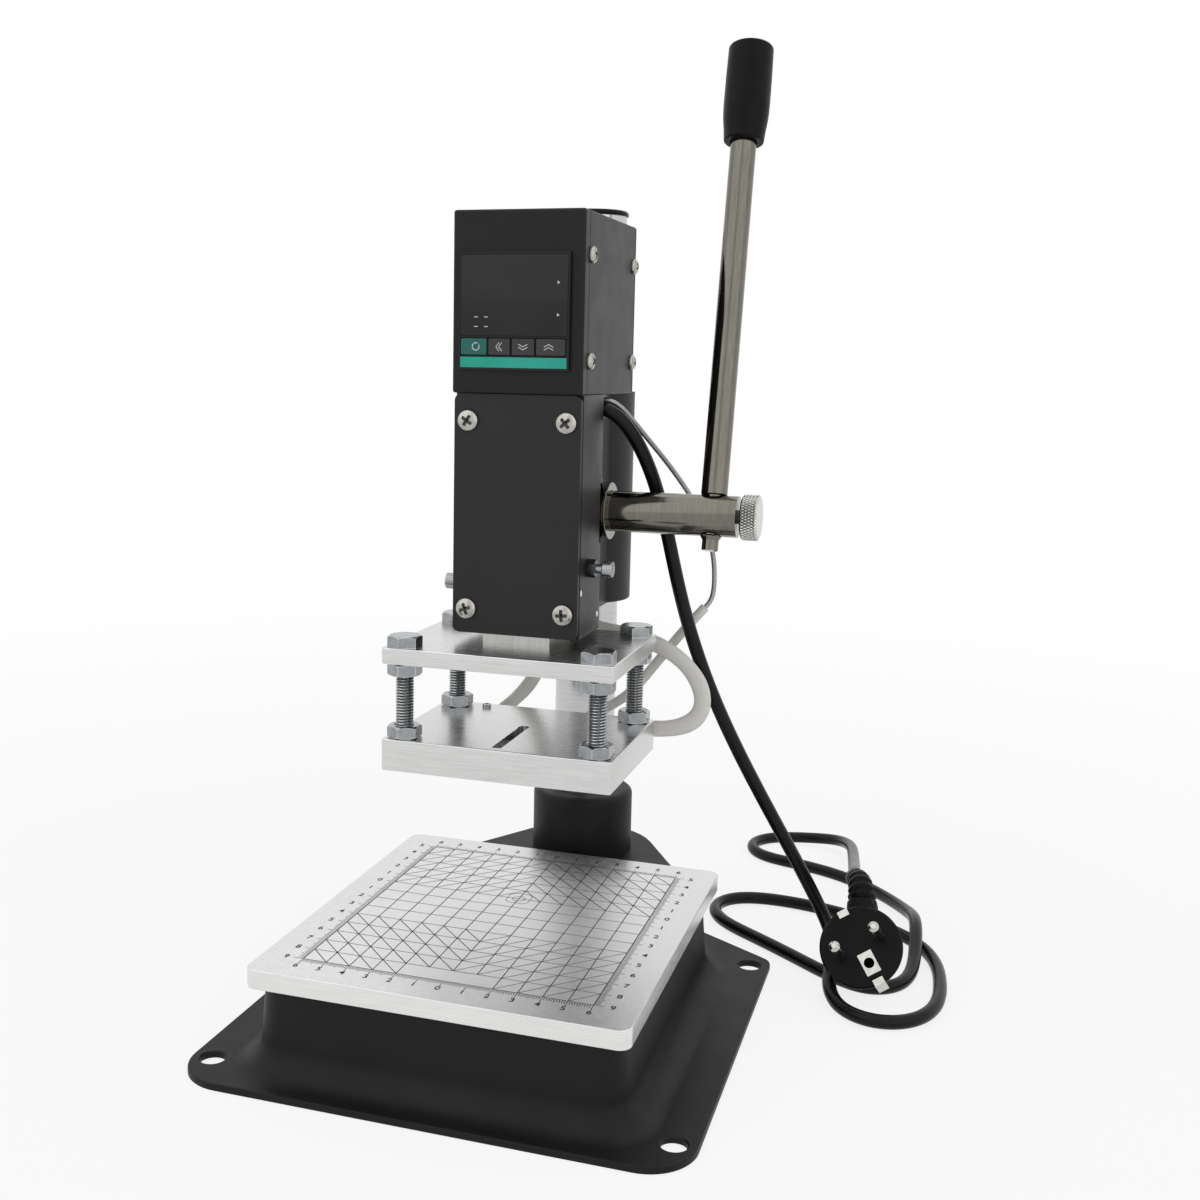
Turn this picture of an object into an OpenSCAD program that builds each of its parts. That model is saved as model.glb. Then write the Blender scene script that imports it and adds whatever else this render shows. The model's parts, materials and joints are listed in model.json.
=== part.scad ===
// Hand-lever hot foil stamping press: flanged base with a ruled bed plate, column,
// head with a rack ram, heated plate, temperature controller and mains lead.
// Millimetres, X to the right, Y to the back, Z up. The origin is the middle of the
// four mounting holes, on the surface that the base stands on.

/* [Base] */
// Width of the flange
base_w = 207; // [202:1:225]
// Front edge of the flange, from the middle of the holes
base_front = 100; // [98:1:112]
// Rear corners of the flange, from the middle of the holes
base_back = 93.4; // [90:0.1:98]
// Thickness of the flange
flange_t = 3; // [2:0.5:5]
// Radius of the front corners of the flange
flange_r = 20; // [10:1:28]
// Radius of the rear corners of the flange
flange_rear_r = 8; // [5:1:12]
// Radius at the narrow tail of the flange
flange_tail_r = 28; // [24:1:34]
// Radius of the flange round the column
flange_col_r = 57; // [54:1:64]
// Mounting holes, spacing across
hole_dx = 189; // [182:1:192]
// Mounting holes, spacing front to back
hole_dy = 163; // [156:1:170]
// Mounting holes, diameter
hole_d = 10; // [6:0.5:11]
// Height of the raised top
base_h = 37; // [30:1:50]
// Width of the raised top
top_w = 149; // [136:1:152]
// Front edge of the raised top
top_front = 82.5; // [76:0.5:84]
// Rear corners of the raised top
top_back = 75; // [66:1:78]
// Corner radius of the raised top
top_r = 12; // [5:1:12]
// Radius of the raised top round the column
top_col_r = 37; // [32:1:38]
// Slope of the raised sides, in all
base_draft = 3; // [1:0.5:4]
// Hollow radius at the foot of the raised sides
foot_r = 11; // [6:1:12]
// Edge break of the raised top
top_break = 1.5; // [0.5:0.5:3]
// Wall of the base
base_wall = 3; // [2:0.5:5]

/* [Bed] */
// Width of the bed plate
bed_w = 156; // [148:1:165]
// Depth of the bed plate
bed_d = 172; // [166:1:180]
// Thickness of the bed plate
bed_t = 8; // [6:0.5:12]
// Corner radius of the bed plate
bed_r = 5; // [2:0.5:10]

/* [Column] */
// Diameter of the column
col_d = 30; // [27:0.5:32]
// Wall of the column
col_wall = 4; // [3:0.5:6]
// Length of the column
col_len = 345.5; // [340:0.5:380]
// Place of the column behind the origin
col_y = 121.5; // [120:0.5:126]
// Wall of the boss
boss_wall = 10; // [8:0.5:12]
// Height of the boss above the raised top
boss_h = 31.5; // [24:0.5:40]
// Edge radius of the boss
boss_r = 3; // [1:0.5:5]
// Floor under the column
boss_floor = 3; // [2:0.5:5]
// Height of the cap
cap_h = 2.6; // [2.4:0.1:8]
// Lip of the cap past the column
cap_lip = 0.7; // [0.3:0.1:2]

/* [Plates] */
// Gap between the bed and the heating plate
stamp_gap = 64; // [55:0.2:75]
// Width of both plates
plate_w = 101; // [98:1:110]
// Front edge of both plates
plate_front = 16.75; // [15:0.25:25]
// Depth of both plates
plate_d = 76; // [74:0.5:84]
// Corner radius of both plates
plate_r = 1.5; // [0.5:0.5:3]
// Thickness of the heating plate
heat_t = 13.8; // [12.6:0.2:18]
// Gap between the two plates
plate_gap = 32.2; // [28:0.1:40]
// Thickness of the upper plate
upper_t = 7.1; // [5:0.1:10]
// Bolts, inset from the plate edges across
bolt_in_x = 8; // [7.5:0.5:10]
// Bolts, inset from the plate edges front to back
bolt_in_y = 7; // [6.5:0.5:10]
// Bolts, diameter
bolt_d = 8; // [6:0.5:8]
// Bolts, width across flats of head and nuts
bolt_af = 13; // [12:0.5:13.5]
// Bolts, height of the head
bolt_head_h = 4.8; // [4:0.1:7]
// Bolts, height of the nuts
nut_h = 5.3; // [4:0.1:7]
// Cartridge heaters, diameter
heater_d = 9; // [6:0.5:9.5]
// Cartridge heaters, length
heater_len = 60; // [45:1:64]
// Cartridge heaters, distance from the middle
heater_x = 27.7; // [22:0.1:30]
// Temperature probe, diameter
probe_d = 4; // [3:0.5:5]
// Temperature probe, place across
probe_x = 12; // [9:0.5:16]
// Gauge slot in the heating plate, width
slot_w = 4.2; // [3:0.2:6]
// Gauge slot, length
slot_len = 36.2; // [28:0.2:42]
// Gauge slot, depth
slot_t = 6; // [3:0.5:8]

/* [Head] */
// Length of ram that shows under the head
ram_show = 4.2; // [3:0.2:10]
// Height of the head
head_h = 102.1; // [98:0.1:112]
// Width of the head
head_w = 56; // [55:0.5:62]
// Front face of the head
head_front = 10.6; // [8:0.2:12]
// Depth of the straight-sided part
head_block = 30.4; // [28:0.2:32]
// Width of the neck in front of the column
neck_w = 28; // [27:0.5:34]
// Wall of the sleeve round the column
sleeve_wall = 6; // [5:0.5:8]
// Lower edge radius of the sleeve
sleeve_r = 1.5; // [1:0.5:5]
// Thickness of the front cover
cover_t = 3; // [2:0.5:5]
// Corner radius of the front cover
cover_r = 3; // [1:0.5:5]
// Width of the ram
ram_w = 30; // [26:0.5:31]
// Length of the ram
ram_len = 92; // [84:1:94]
// Thickness of the side gib
gib_t = 3; // [2:0.5:4]
// Running clearance of the ram
slide_clr = 0.05; // [0.02:0.01:0.1]
// Wiring passage, width
pass_w = 22; // [20:0.5:23]
// Wiring passage, depth
pass_d = 20; // [18:0.5:22]
// Depth of the pocket under the box
pocket_h = 10.4; // [9.8:0.1:12]

/* [Drive] */
// Place of the cross shaft behind the origin
shaft_y = 52; // [50:0.5:53]
// Height of the cross shaft above the underside of the head
shaft_up = 50.9; // [46:0.1:56]
// Diameter of the cross shaft outside the head
shaft_d = 18; // [16:0.5:19]
// Module of the pinion
gear_m = 1.5; // [1.4:0.05:1.6]
// Teeth of the pinion
gear_z = 14; // [13:1:15]
// Width of the pinion
gear_w = 16; // [10:1:20]
// Running clearance of the shaft
turn_clr = 0.03; // [0.02:0.01:0.08]
// Wall of the bushes
bush_wall = 3; // [2.5:0.5:3.5]
// Length of bush that stands out of the head
bush_out = 1.8; // [1:0.2:4]
// Depth of the recess at each bush
recess_t = 6; // [4:0.5:7]
// Place of the lever along the shaft
lever_x = 75; // [68:1:90]
// Backward lean of the lever
lever_lean = 14.5; // [0:0.5:25]
// Diameter of the lever
lever_d = 11.5; // [9:0.5:14]
// Length of the lever above the shaft axis
lever_len = 214.2; // [180:0.1:240]
// Length of the grip
grip_len = 46; // [42:0.1:60]
// Widest diameter of the grip
grip_d = 20.5; // [18:0.5:24]
// Shaft past the lever
shaft_past = 11.3; // [9:0.1:16]
// Diameter of the thumb screw's knob
knob_d = 20; // [16:0.5:26]
// Length of the thumb screw's knob
knob_len = 7.5; // [6:0.5:12]

/* [Controller] */
// Width of the box
box_w = 56.8; // [55:0.2:64]
// Height of the box
box_h = 74.8; // [70:0.2:86]
// Front of the box
box_front_y = 6; // [4:0.5:8]
// Depth of the box
box_d = 84; // [82:1:96]
// Sheet thickness of the box
box_t = 1.5; // [1:0.1:2]
// Depth of the front pan
pan_d = 6.5; // [5:0.5:9]
// Size of the controller's bezel
bezel = 48; // [46:0.5:50]
// Thickness of the bezel
bezel_t = 1.8; // [1.4:0.2:3]
// Sideways place of the controller
ctrl_x = -1.1; // [-1.4:0.1:1.4]
// Height of the controller's middle above the underside of the box
ctrl_up = 33.7; // [31:0.1:38]
// Size of the controller's case
case_s = 44.5; // [42:0.5:45]
// Depth of the controller's case
case_d = 62; // [40:1:70]
// Travel of the keys
key_travel = 0.8; // [0.4:0.1:1]

/* [Lead] */
// Diameter of the mains lead
cord_d = 6.2; // [5:0.1:6.4]
// Radius of the plug's face
plug_r = 18.5; // [18:0.5:19.5]
// Length of the plug's pins
pin_len = 19; // [15:0.5:20]
// Diameter of the plug's pins
pin_d = 4.8; // [4:0.1:5]
// Diameter of the heater leads' sleeves
lead_d = 6; // [4:0.2:6.4]
// Diameter of the probe's braided cable
braid_d = 2.3; // [1.6:0.1:2.6]
// Diameter of the probe's sleeve
probe_sleeve_d = 4.5; // [3.5:0.1:5]

/* [Hidden] */
$fn = 64;
// Overlap of cutting tools past the faces they cut
eps = 0.5;
// Clearance of a screw in its hole, on the diameter
screw_clr = 0.2;
// Clearance round pieces that are set into a pocket
fit_clr = 0.1;
// Clearance round the keys
key_clr = 0.3;

// Heights
bed_top = base_h + bed_t;
heat_z = bed_top + stamp_gap;
heat_top = heat_z + heat_t;
heater_z = heat_z + heat_t / 2;
upper_z = heat_top + plate_gap;
upper_top = upper_z + upper_t;
head_z = upper_top + ram_show;
head_top = head_z + head_h;
pocket_z = head_top - pocket_h;
shaft_z = head_z + shaft_up;
box_z = head_top;
col_foot = boss_floor + base_wall;
boss_top = base_h + boss_h;
boss_d = col_d + 2 * boss_wall;
sleeve_d = col_d + 2 * sleeve_wall;
plate_mid = plate_d / 2 - plate_front;
plate_back = plate_d - plate_front;

// Pinion and rack
pitch_r = gear_m * gear_z / 2;
rack_add = 0.8 * gear_m;
rack_ded = 1.05 * gear_m;
tip_r = pitch_r + gear_m * 0.83;
core_r = pitch_r - rack_add - 0.3;
root_r = core_r;
backlash = 0.1;
tooth_pitch = PI * gear_m;
ram_front = head_front + slide_clr;
ram_back = shaft_y - pitch_r + rack_add;
channel_back = ram_back + slide_clr;
ram_d = ram_back - ram_front;
channel_left = -ram_w / 2 - slide_clr;
channel_right = ram_w / 2 + gib_t + 2 * slide_clr;
block_back = head_front + head_block;

// Bushes
core_d = 2 * core_r;
bush_od = max(shaft_d, core_d) + 2 * bush_wall;
bush_flange_d = bush_od + 1.2;
recess_s = bush_flange_d + 0.8;
recess_x = head_w / 2 - recess_t;
bush_gap = 0.25;
ring_t = 1.2;
ring_play = 0.3;
left_flange_end = -recess_x - recess_t + 1.2;
shaft_left = left_flange_end - ring_play - ring_t - 1.6;
shaft_right = lever_x + shaft_past;

// Wiring passage and pocket
pass_front = shaft_y + bush_od / 2 + 6;
pocket_front = channel_back + 2.5;
neck_front = pass_front + pass_d + 1;
// Half width of the head where its sides slope in to the neck
function side_x(y) = head_w / 2 - (y - block_back) / (neck_front - block_back) * (head_w - neck_w) / 2;
exit_y = pocket_front + 3.45;
exit_z = pocket_z + 4.1;
braid_y = exit_y + 3.9;
braid_z = pocket_z + 8;
cord_play = 0.5;
notch_w = 10.6;
notch_front = exit_y - cord_d / 2 - 2;
block_right = 9;
block_back_y = pass_front - 4;
// Wider mouth of the passage, where the right lead turns in
entry_t = 2;
entry_h = 3;

// Box
shell_front = box_front_y + pan_d;
box_back_y = box_front_y + box_d;
tongue = 8;
tongue_clr = 0.1;
side_screw_y = 3;
side_screw_in = [14, 17.8];
side_screw_z = [side_screw_in[0], box_h - side_screw_in[1]];
ctrl_z = box_z + ctrl_up;
case_clr = 0.25;

// Screw sites
cover_screw_x = channel_right + 3.4;
cover_screw_d = 4;
cover_screw_up = 10.7;
cover_screw_down = 11.4;
cover_screw_z = [cover_screw_up, head_h - cover_screw_down];
gib_y = 22.2;
gib_up = 29.1;
stop_y = 22;
stop_up = 19.7;
set_sites = [[2.1, 19.5], [head_block - 2.6, 6.7]];

// Points of an arc
function arc(c, r, a0, a1, k) = [
    for (i = [0:k]) let(a = a0 + (a1 - a0) * i / k) [c[0] + r * cos(a), c[1] + r * sin(a)]
];
// Outward normal of the common tangent from circle p to circle q, both [x, y, r]
function tangent_angle(p, q) =
    atan2(q[1] - p[1], q[0] - p[0]) - acos((p[2] - q[2]) / norm([q[0] - p[0], q[1] - p[1]]));
function wrap_from(a, a0) = a < a0 ? wrap_from(a + 360, a0) : (a >= a0 + 360 ? wrap_from(a - 360, a0) : a);
// Outline round a list of circles, moved out by d
function wrap_outline(cs, d, k) = [
    for (i = [0:len(cs) - 1])
        let(
            n = len(cs),
            a0 = tangent_angle(cs[(i + n - 1) % n], cs[i]),
            a1 = wrap_from(tangent_angle(cs[i], cs[(i + 1) % n]), a0)
        )
        each arc(cs[i], cs[i][2] + d, a0, a1, k)
];
function at_z(outline, z) = [for (p = outline) [p[0], p[1], z]];

// Solid through a stack of rings with equal counts of points
module loft(rings) {
    n = len(rings[0]);
    m = len(rings);
    polyhedron(
        points = [for (r = rings) each r],
        faces = concat(
            [[for (i = [0:n - 1]) i]],
            [[for (i = [n - 1:-1:0]) (m - 1) * n + i]],
            [for (j = [0:m - 2]) for (i = [0:n - 1]) [j * n + i, (j + 1) * n + i,
                (j + 1) * n + (i + 1) % n]],
            [for (j = [0:m - 2]) for (i = [0:n - 1]) [j * n + i, (j + 1) * n + (i + 1) % n,
                j * n + (i + 1) % n]]
        )
    );
}

// Smooth curve near a list of points, through its two ends
function unit(v) = v / norm(v);
function with_ends(p) = let(n = len(p)) concat([2 * p[0] - p[1]], p, [2 * p[n - 1] - p[n - 2]]);
function curve_point(q, i, t) = (
    pow(1 - t, 3) * q[i] + (3 * pow(t, 3) - 6 * t * t + 4) * q[i + 1]
    + (-3 * pow(t, 3) + 3 * t * t + 3 * t + 1) * q[i + 2] + pow(t, 3) * q[i + 3]
) / 6;
function curve(p, steps) =
    let(q = with_ends(p), spans = len(p) - 1)
    [for (k = [0:steps]) let(u = spans * k / steps, i = min(floor(u), spans - 1)) curve_point(q, i, u - i)];
// Directions along a curve c that was drawn from the points p
function tangents(c, p) =
    let(n = len(c), e = len(p) - 1)
    [for (i = [0:n - 1]) unit(i == 0 ? p[1] - p[0] : (i == n - 1 ? p[e] - p[e - 1] : c[i + 1] - c[i - 1]))];
function square_to(v, t) = unit(v - (v * t) * t);
function frames(t) =
    let(first = abs(t[0][2]) < 0.9 ? [0, 0, 1] : [1, 0, 0])
    [for (i = 0, v = square_to(first, t[0]); i < len(t);
        i = i + 1, v = i < len(t) ? square_to(v, t[i]) : v) v];
function ring(c, v, w, r, sides) = [for (k = [0:sides - 1])
    c + r * (cos(360 * k / sides) * v + sin(360 * k / sides) * w)];
// Tube along the curve of a list of points, with one radius per step
module tube(points, radii, sides) {
    c = curve(points, len(radii) - 1);
    t = tangents(c, points);
    f = frames(t);
    loft([for (i = [0:len(c) - 1]) ring(c[i], f[i], cross(t[i], f[i]), radii[i], sides)]);
}
module plain_tube(points, d, steps, sides) {
    tube(points, [for (i = [0:steps]) d / 2], sides);
}
function path_length(c) = [for (i = 0, s = 0; i < len(c); i = i + 1,
    s = i < len(c) ? s + norm(c[i] - c[i - 1]) : s) s];
// Least gap of a tube to itself, away from its own bends
function self_gap(c, d) =
    let(s = path_length(c), n = len(c))
    min([for (i = [0:n - 2]) for (j = [i + 1:n - 1]) if (s[j] - s[i] > 4 * d) norm(c[i] - c[j])]) - d;

// Flat rounded rectangle about its middle
module rounded_rect(w, d, r) {
    square([w - 2 * r, d], center = true);
    square([w, d - 2 * r], center = true);
    for (x = [-1, 1], y = [-1, 1]) translate([x * (w / 2 - r), y * (d / 2 - r)]) circle(r);
}
// Box between two corners
module span(a, b) {
    translate(a) cube(b - a);
}
// Cylinder along X between two places
module bar_x(x0, x1, d) {
    translate([x0, 0, 0]) rotate([0, 90, 0]) cylinder(h = x1 - x0, d = d);
}
// Cylinder along Y between two places
module bar_y(y0, y1, d) {
    translate([0, y0, 0]) rotate([-90, 0, 0]) cylinder(h = y1 - y0, d = d);
}
// Screw with a round head, standing on z = 0 with its shank below
module pan_screw(d, len, head_d, head_h) {
    slot = head_d * 0.55;
    slot_w = head_d * 0.13;
    difference() {
        union() {
            cylinder(h = head_h * 0.55, d = head_d);
            translate([0, 0, head_h * 0.55]) cylinder(h = head_h * 0.45, d1 = head_d, d2 = head_d * 0.68);
            translate([0, 0, -len]) cylinder(h = len, d = d);
        }
        for (a = [0, 90]) rotate([0, 0, a])
            span([-slot / 2, -slot_w / 2, head_h * 0.45], [slot / 2, slot_w / 2, head_h + eps]);
    }
}
// Headless screw with a hexagon socket, top at z = 0
module set_screw(d, len) {
    difference() {
        translate([0, 0, -len]) cylinder(h = len, d = d);
        translate([0, 0, -len * 0.5]) cylinder(h = len, d = d * 0.5, $fn = 6);
    }
}
module hex(af, h) {
    cylinder(h = h, d = af / cos(30), $fn = 6);
}

// Circles that the flange and the raised top wrap round
flange_circles = [
    [-base_w / 2 + flange_r, -base_front + flange_r, flange_r],
    [base_w / 2 - flange_r, -base_front + flange_r, flange_r],
    [base_w / 2 - flange_rear_r, base_back - flange_rear_r, flange_rear_r],
    [0, col_y, flange_tail_r],
    [-base_w / 2 + flange_rear_r, base_back - flange_rear_r, flange_rear_r]
];
top_circles = [
    [-top_w / 2 + top_r, -top_front + top_r, top_r],
    [top_w / 2 - top_r, -top_front + top_r, top_r],
    [top_w / 2 - top_r, top_back - top_r, top_r],
    [0, col_y, top_col_r],
    [-top_w / 2 + top_r, top_back - top_r, top_r]
];
arc_steps = 6;
foot_angles = [0, 25, 45, 65, 90];
function draft_at(z) = base_draft * (base_h - z) / base_h;
foot_rings = [
    for (a = foot_angles) [flange_t + foot_r * (1 - cos(a)), foot_r * (1 - sin(a))]
];
outer_levels = concat(
    [[0, draft_at(0) + foot_r]],
    [for (f = foot_rings) [f[0], draft_at(f[0]) + f[1]]],
    [[base_h - top_break, draft_at(base_h - top_break)], [base_h, -top_break]]
);
module raised_part() {
    loft([for (l = outer_levels) at_z(wrap_outline(top_circles, l[1], arc_steps), l[0])]);
}
module raised_hollow() {
    loft(concat(
        [at_z(wrap_outline(top_circles, outer_levels[1][1] - base_wall, arc_steps), -eps)],
        [for (i = [1:len(outer_levels) - 2]) let(l = outer_levels[i])
            at_z(wrap_outline(top_circles, l[1] - base_wall, arc_steps),
                i == 1 ? 0 : (i == len(outer_levels) - 2 ? base_h - base_wall : l[0] - base_wall * 0.5))]
    ));
}
module boss_outline() {
    difference() {
        square([boss_d / 2, boss_top - boss_floor]);
        translate([boss_d / 2 - boss_r, boss_top - boss_floor - boss_r]) difference() {
            square(boss_r + eps);
            circle(boss_r);
        }
    }
}
module bed_screw_sites() {
    for (x = [-1, 1], y = [-1, 1]) translate([x * top_w * 0.36, y * top_back * 0.72, base_h - base_wall])
        children();
}
module column_screw_sites() {
    for (z = [0.3, 0.7]) translate([0, col_y, base_h + z * boss_h]) rotate([-90, 0, 0]) children();
}
column_screw_d = 6;
module base() {
    color([0.13, 0.13, 0.14])
    difference() {
        union() {
            difference() {
                union() {
                    linear_extrude(flange_t) polygon(wrap_outline(flange_circles, 0, arc_steps));
                    translate([0, col_y, 0]) cylinder(h = flange_t, r = flange_col_r);
                    raised_part();
                }
                raised_hollow();
            }
            translate([0, col_y, boss_floor]) rotate_extrude() boss_outline();
        }
        translate([0, col_y, col_foot]) cylinder(h = boss_top, d = col_d + fit_clr);
        for (x = [-1, 1], y = [-1, 1]) translate([x * hole_dx / 2, y * hole_dy / 2, -eps])
            cylinder(h = flange_t + 2 * eps, d = hole_d);
        bed_screw_sites() translate([0, 0, -eps])
            cylinder(h = base_wall + 2 * eps, d = bed_screw_d + screw_clr);
        column_screw_sites() translate([0, 0, col_d / 2 - eps])
            cylinder(h = boss_wall + 2 * eps, d = column_screw_d + screw_clr);
    }
}
module column_set_screws() {
    color([0.2, 0.2, 0.21])
    column_screw_sites() translate([0, 0, boss_d / 2 - 1])
        set_screw(column_screw_d, boss_wall - 1 - fit_clr);
}

bed_screw_d = 5;
bed_screw_depth = 5;
module bed_plate() {
    color([0.72, 0.72, 0.73])
    difference() {
        translate([0, 0, base_h]) linear_extrude(bed_t) rounded_rect(bed_w, bed_d, bed_r);
        bed_screw_sites() cylinder(h = base_wall + bed_screw_depth + 0.2, d = bed_screw_d + screw_clr);
    }
}
module bed_plate_screws() {
    color([0.6, 0.6, 0.62])
    bed_screw_sites() rotate([180, 0, 0]) pan_screw(bed_screw_d, base_wall + bed_screw_depth, 9, 3);
}

module column() {
    color([0.7, 0.7, 0.71])
    translate([0, col_y, col_foot]) difference() {
        cylinder(h = col_len, d = col_d);
        translate([0, 0, -eps]) cylinder(h = col_len + 2 * eps, d = col_d - 2 * col_wall);
    }
}
module column_cap() {
    color([0.08, 0.08, 0.08])
    translate([0, col_y, col_foot + col_len]) {
        cylinder(h = cap_h - 1, d = col_d + 2 * cap_lip);
        translate([0, 0, cap_h - 1])
            cylinder(h = 1, d1 = col_d + 2 * cap_lip, d2 = col_d + 2 * cap_lip - 2);
        translate([0, 0, -8]) cylinder(h = 8, d = col_d - 2 * col_wall - fit_clr);
    }
}

// Plan of the head: block, sloping sides, neck and sleeve
module head_outline() {
    translate([-head_w / 2, head_front]) square([head_w, head_block]);
    translate([0, col_y]) circle(d = sleeve_d);
    polygon([
        [-head_w / 2, block_back], [head_w / 2, block_back], [neck_w / 2, neck_front],
        [neck_w / 2, col_y], [-neck_w / 2, col_y], [-neck_w / 2, neck_front]
    ]);
}
// Square bearing bosses of the cross shaft
module shaft_bosses() {
    span([-recess_x, block_back - 1, shaft_z - recess_s / 2],
        [recess_x, shaft_y + recess_s / 2, shaft_z + recess_s / 2]);
}
module sleeve_edge() {
    intersection() {
        translate([0, col_y, head_z]) rotate_extrude() difference() {
            translate([sleeve_d / 2 - sleeve_r, -eps]) square([sleeve_r + 8, sleeve_r + eps]);
            translate([sleeve_d / 2 - sleeve_r, sleeve_r]) circle(sleeve_r);
        }
        span([-sleeve_d, col_y - sleeve_d * 0.37, head_z - 1],
            [sleeve_d, col_y + sleeve_d, head_z + sleeve_r]);
    }
}
module cover_sites() {
    for (x = [-1, 1], z = cover_screw_z)
        translate([x * cover_screw_x, head_front - cover_t, head_z + z]) rotate([90, 0, 0]) children();
}
cover_screw_len = 12;
module clamp_sites() {
    for (z = [0.24, 0.78]) translate([0, col_y, head_z + z * head_h]) rotate([-90, 0, 0]) children();
}
clamp_screw_d = 6;
module gib_site() {
    translate([0, head_front + gib_y - 10.6, head_z + gib_up]) children();
}
module stop_site() {
    translate([0, head_front + stop_y - 10.6, head_z + stop_up]) children();
}
adjust_d = 4;
set_small_d = 3;
set_small_len = 5;
module small_set_sites() {
    for (s = set_sites) translate([head_w / 2 - 0.4, head_front + s[0], head_z + s[1]]) rotate([0, 90, 0])
        children();
}
box_screw_d = 4;
box_screw_len = 8;
box_screw_head = 7.5;
module box_mount_sites() {
    front_x = box_w / 2 - box_t - box_screw_head / 2 - fit_clr;
    for (x = [-1, 1]) translate([x * front_x, head_front + 14.4, box_z + box_t]) children();
    rear_y = pass_front - 8;
    rear_x = (pass_w / 2 + side_x(rear_y)) / 2;
    for (x = [-1, 1]) translate([x * rear_x, rear_y, box_z + box_t]) children();
}
module head_housing() {
    color([0.14, 0.14, 0.15])
    difference() {
        union() {
            translate([0, 0, head_z]) linear_extrude(head_h) head_outline();
            shaft_bosses();
        }
        sleeve_edge();
        translate([0, col_y, head_z - eps]) cylinder(h = head_h + 2 * eps, d = col_d + fit_clr);
        span([channel_left, head_front - eps, head_z - eps], [channel_right, channel_back, head_top + eps]);
        translate([0, shaft_y, shaft_z]) bar_x(-head_w, head_w, bush_od);
        for (s = [-1, 1]) translate([s * (recess_x + head_w / 4), shaft_y, shaft_z])
            cube([head_w / 2, recess_s, recess_s], center = true);
        span([-pass_w / 2, pass_front, head_z - eps], [pass_w / 2, pass_front + pass_d, head_top + eps]);
        span([0, pass_front + 6, head_z - eps],
            [pass_w / 2 + entry_t, pass_front + pass_d - 3, head_z + entry_h]);
        span([-pass_w / 2, pocket_front, pocket_z], [pass_w / 2, pass_front + pass_d, head_top + eps]);
        span([pass_w / 2 - eps, pocket_front, pocket_z],
            [channel_right + 2, notch_front + notch_w, head_top + eps]);
        span([channel_right + 1, notch_front, pocket_z],
            [head_w / 2 + eps, notch_front + notch_w, head_top + eps]);
        cover_sites() translate([0, 0, -cover_screw_len - 0.3])
            cylinder(h = cover_screw_len + 1, d = cover_screw_d + screw_clr);
        clamp_sites() translate([0, 0, col_d / 2 - eps])
            cylinder(h = sleeve_wall + 2 * eps, d = clamp_screw_d + screw_clr);
        gib_site() bar_x(channel_right - eps, head_w / 2 + eps, adjust_d + screw_clr);
        stop_site() bar_x(-head_w / 2 - eps, channel_left + eps, adjust_d + screw_clr);
        small_set_sites() translate([0, 0, -set_small_len - 0.2])
            cylinder(h = set_small_len + 2, d = set_small_d + fit_clr);
        box_mount_sites() translate([0, 0, -box_screw_len - box_t])
            cylinder(h = box_screw_len + 2 * box_t, d = box_screw_d + screw_clr);
    }
}
module head_clamp_screws() {
    color([0.2, 0.2, 0.21])
    clamp_sites() translate([0, 0, sleeve_d / 2 - 0.6])
        set_screw(clamp_screw_d, sleeve_wall - 0.6 - fit_clr);
}
module front_cover() {
    color([0.15, 0.15, 0.16])
    difference() {
        translate([0, head_front, head_z + head_h / 2]) rotate([90, 0, 0])
            linear_extrude(cover_t) rounded_rect(head_w - 0.4, head_h - 0.4, cover_r);
        cover_sites() translate([0, 0, -cover_t - eps])
            cylinder(h = cover_t + 2 * eps, d = cover_screw_d + screw_clr);
    }
}
module front_cover_screws() {
    color([0.75, 0.75, 0.76])
    cover_sites() pan_screw(cover_screw_d, cover_screw_len, 9, 2.6);
}
module side_gib() {
    color([0.55, 0.5, 0.35])
    span([ram_w / 2 + slide_clr, ram_front + 1, head_z + 1],
        [ram_w / 2 + slide_clr + gib_t, ram_back - 3, head_top - 1]);
}
lock_nut_t = 3.6;
adjust_head = 4.4;
adjust_free = 6.6;
module gib_screw() {
    color([0.75, 0.75, 0.76])
    gib_site() {
        bar_x(channel_right + fit_clr / 2, head_w / 2 + adjust_free, adjust_d);
        bar_x(head_w / 2 + adjust_free, head_w / 2 + adjust_free + adjust_head, 6.8);
    }
}
module gib_lock_nut() {
    color([0.75, 0.75, 0.76])
    gib_site() translate([head_w / 2, 0, 0]) rotate([0, 90, 0]) difference() {
        hex(7, lock_nut_t);
        translate([0, 0, -eps]) cylinder(h = lock_nut_t + 2 * eps, d = adjust_d + fit_clr);
    }
}
module ram_stop_screw() {
    color([0.75, 0.75, 0.76])
    stop_site() {
        bar_x(-head_w / 2 - 3.5, channel_left - 0.3, adjust_d);
        bar_x(-head_w / 2 - 8, -head_w / 2 - 3.5, 7);
        translate([-head_w / 2 - 3.5, 0, 0]) rotate([0, 90, 0]) hex(7, 3.5);
    }
}
module gib_set_screws() {
    color([0.8, 0.8, 0.81])
    small_set_sites() set_screw(set_small_d, set_small_len);
}

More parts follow.
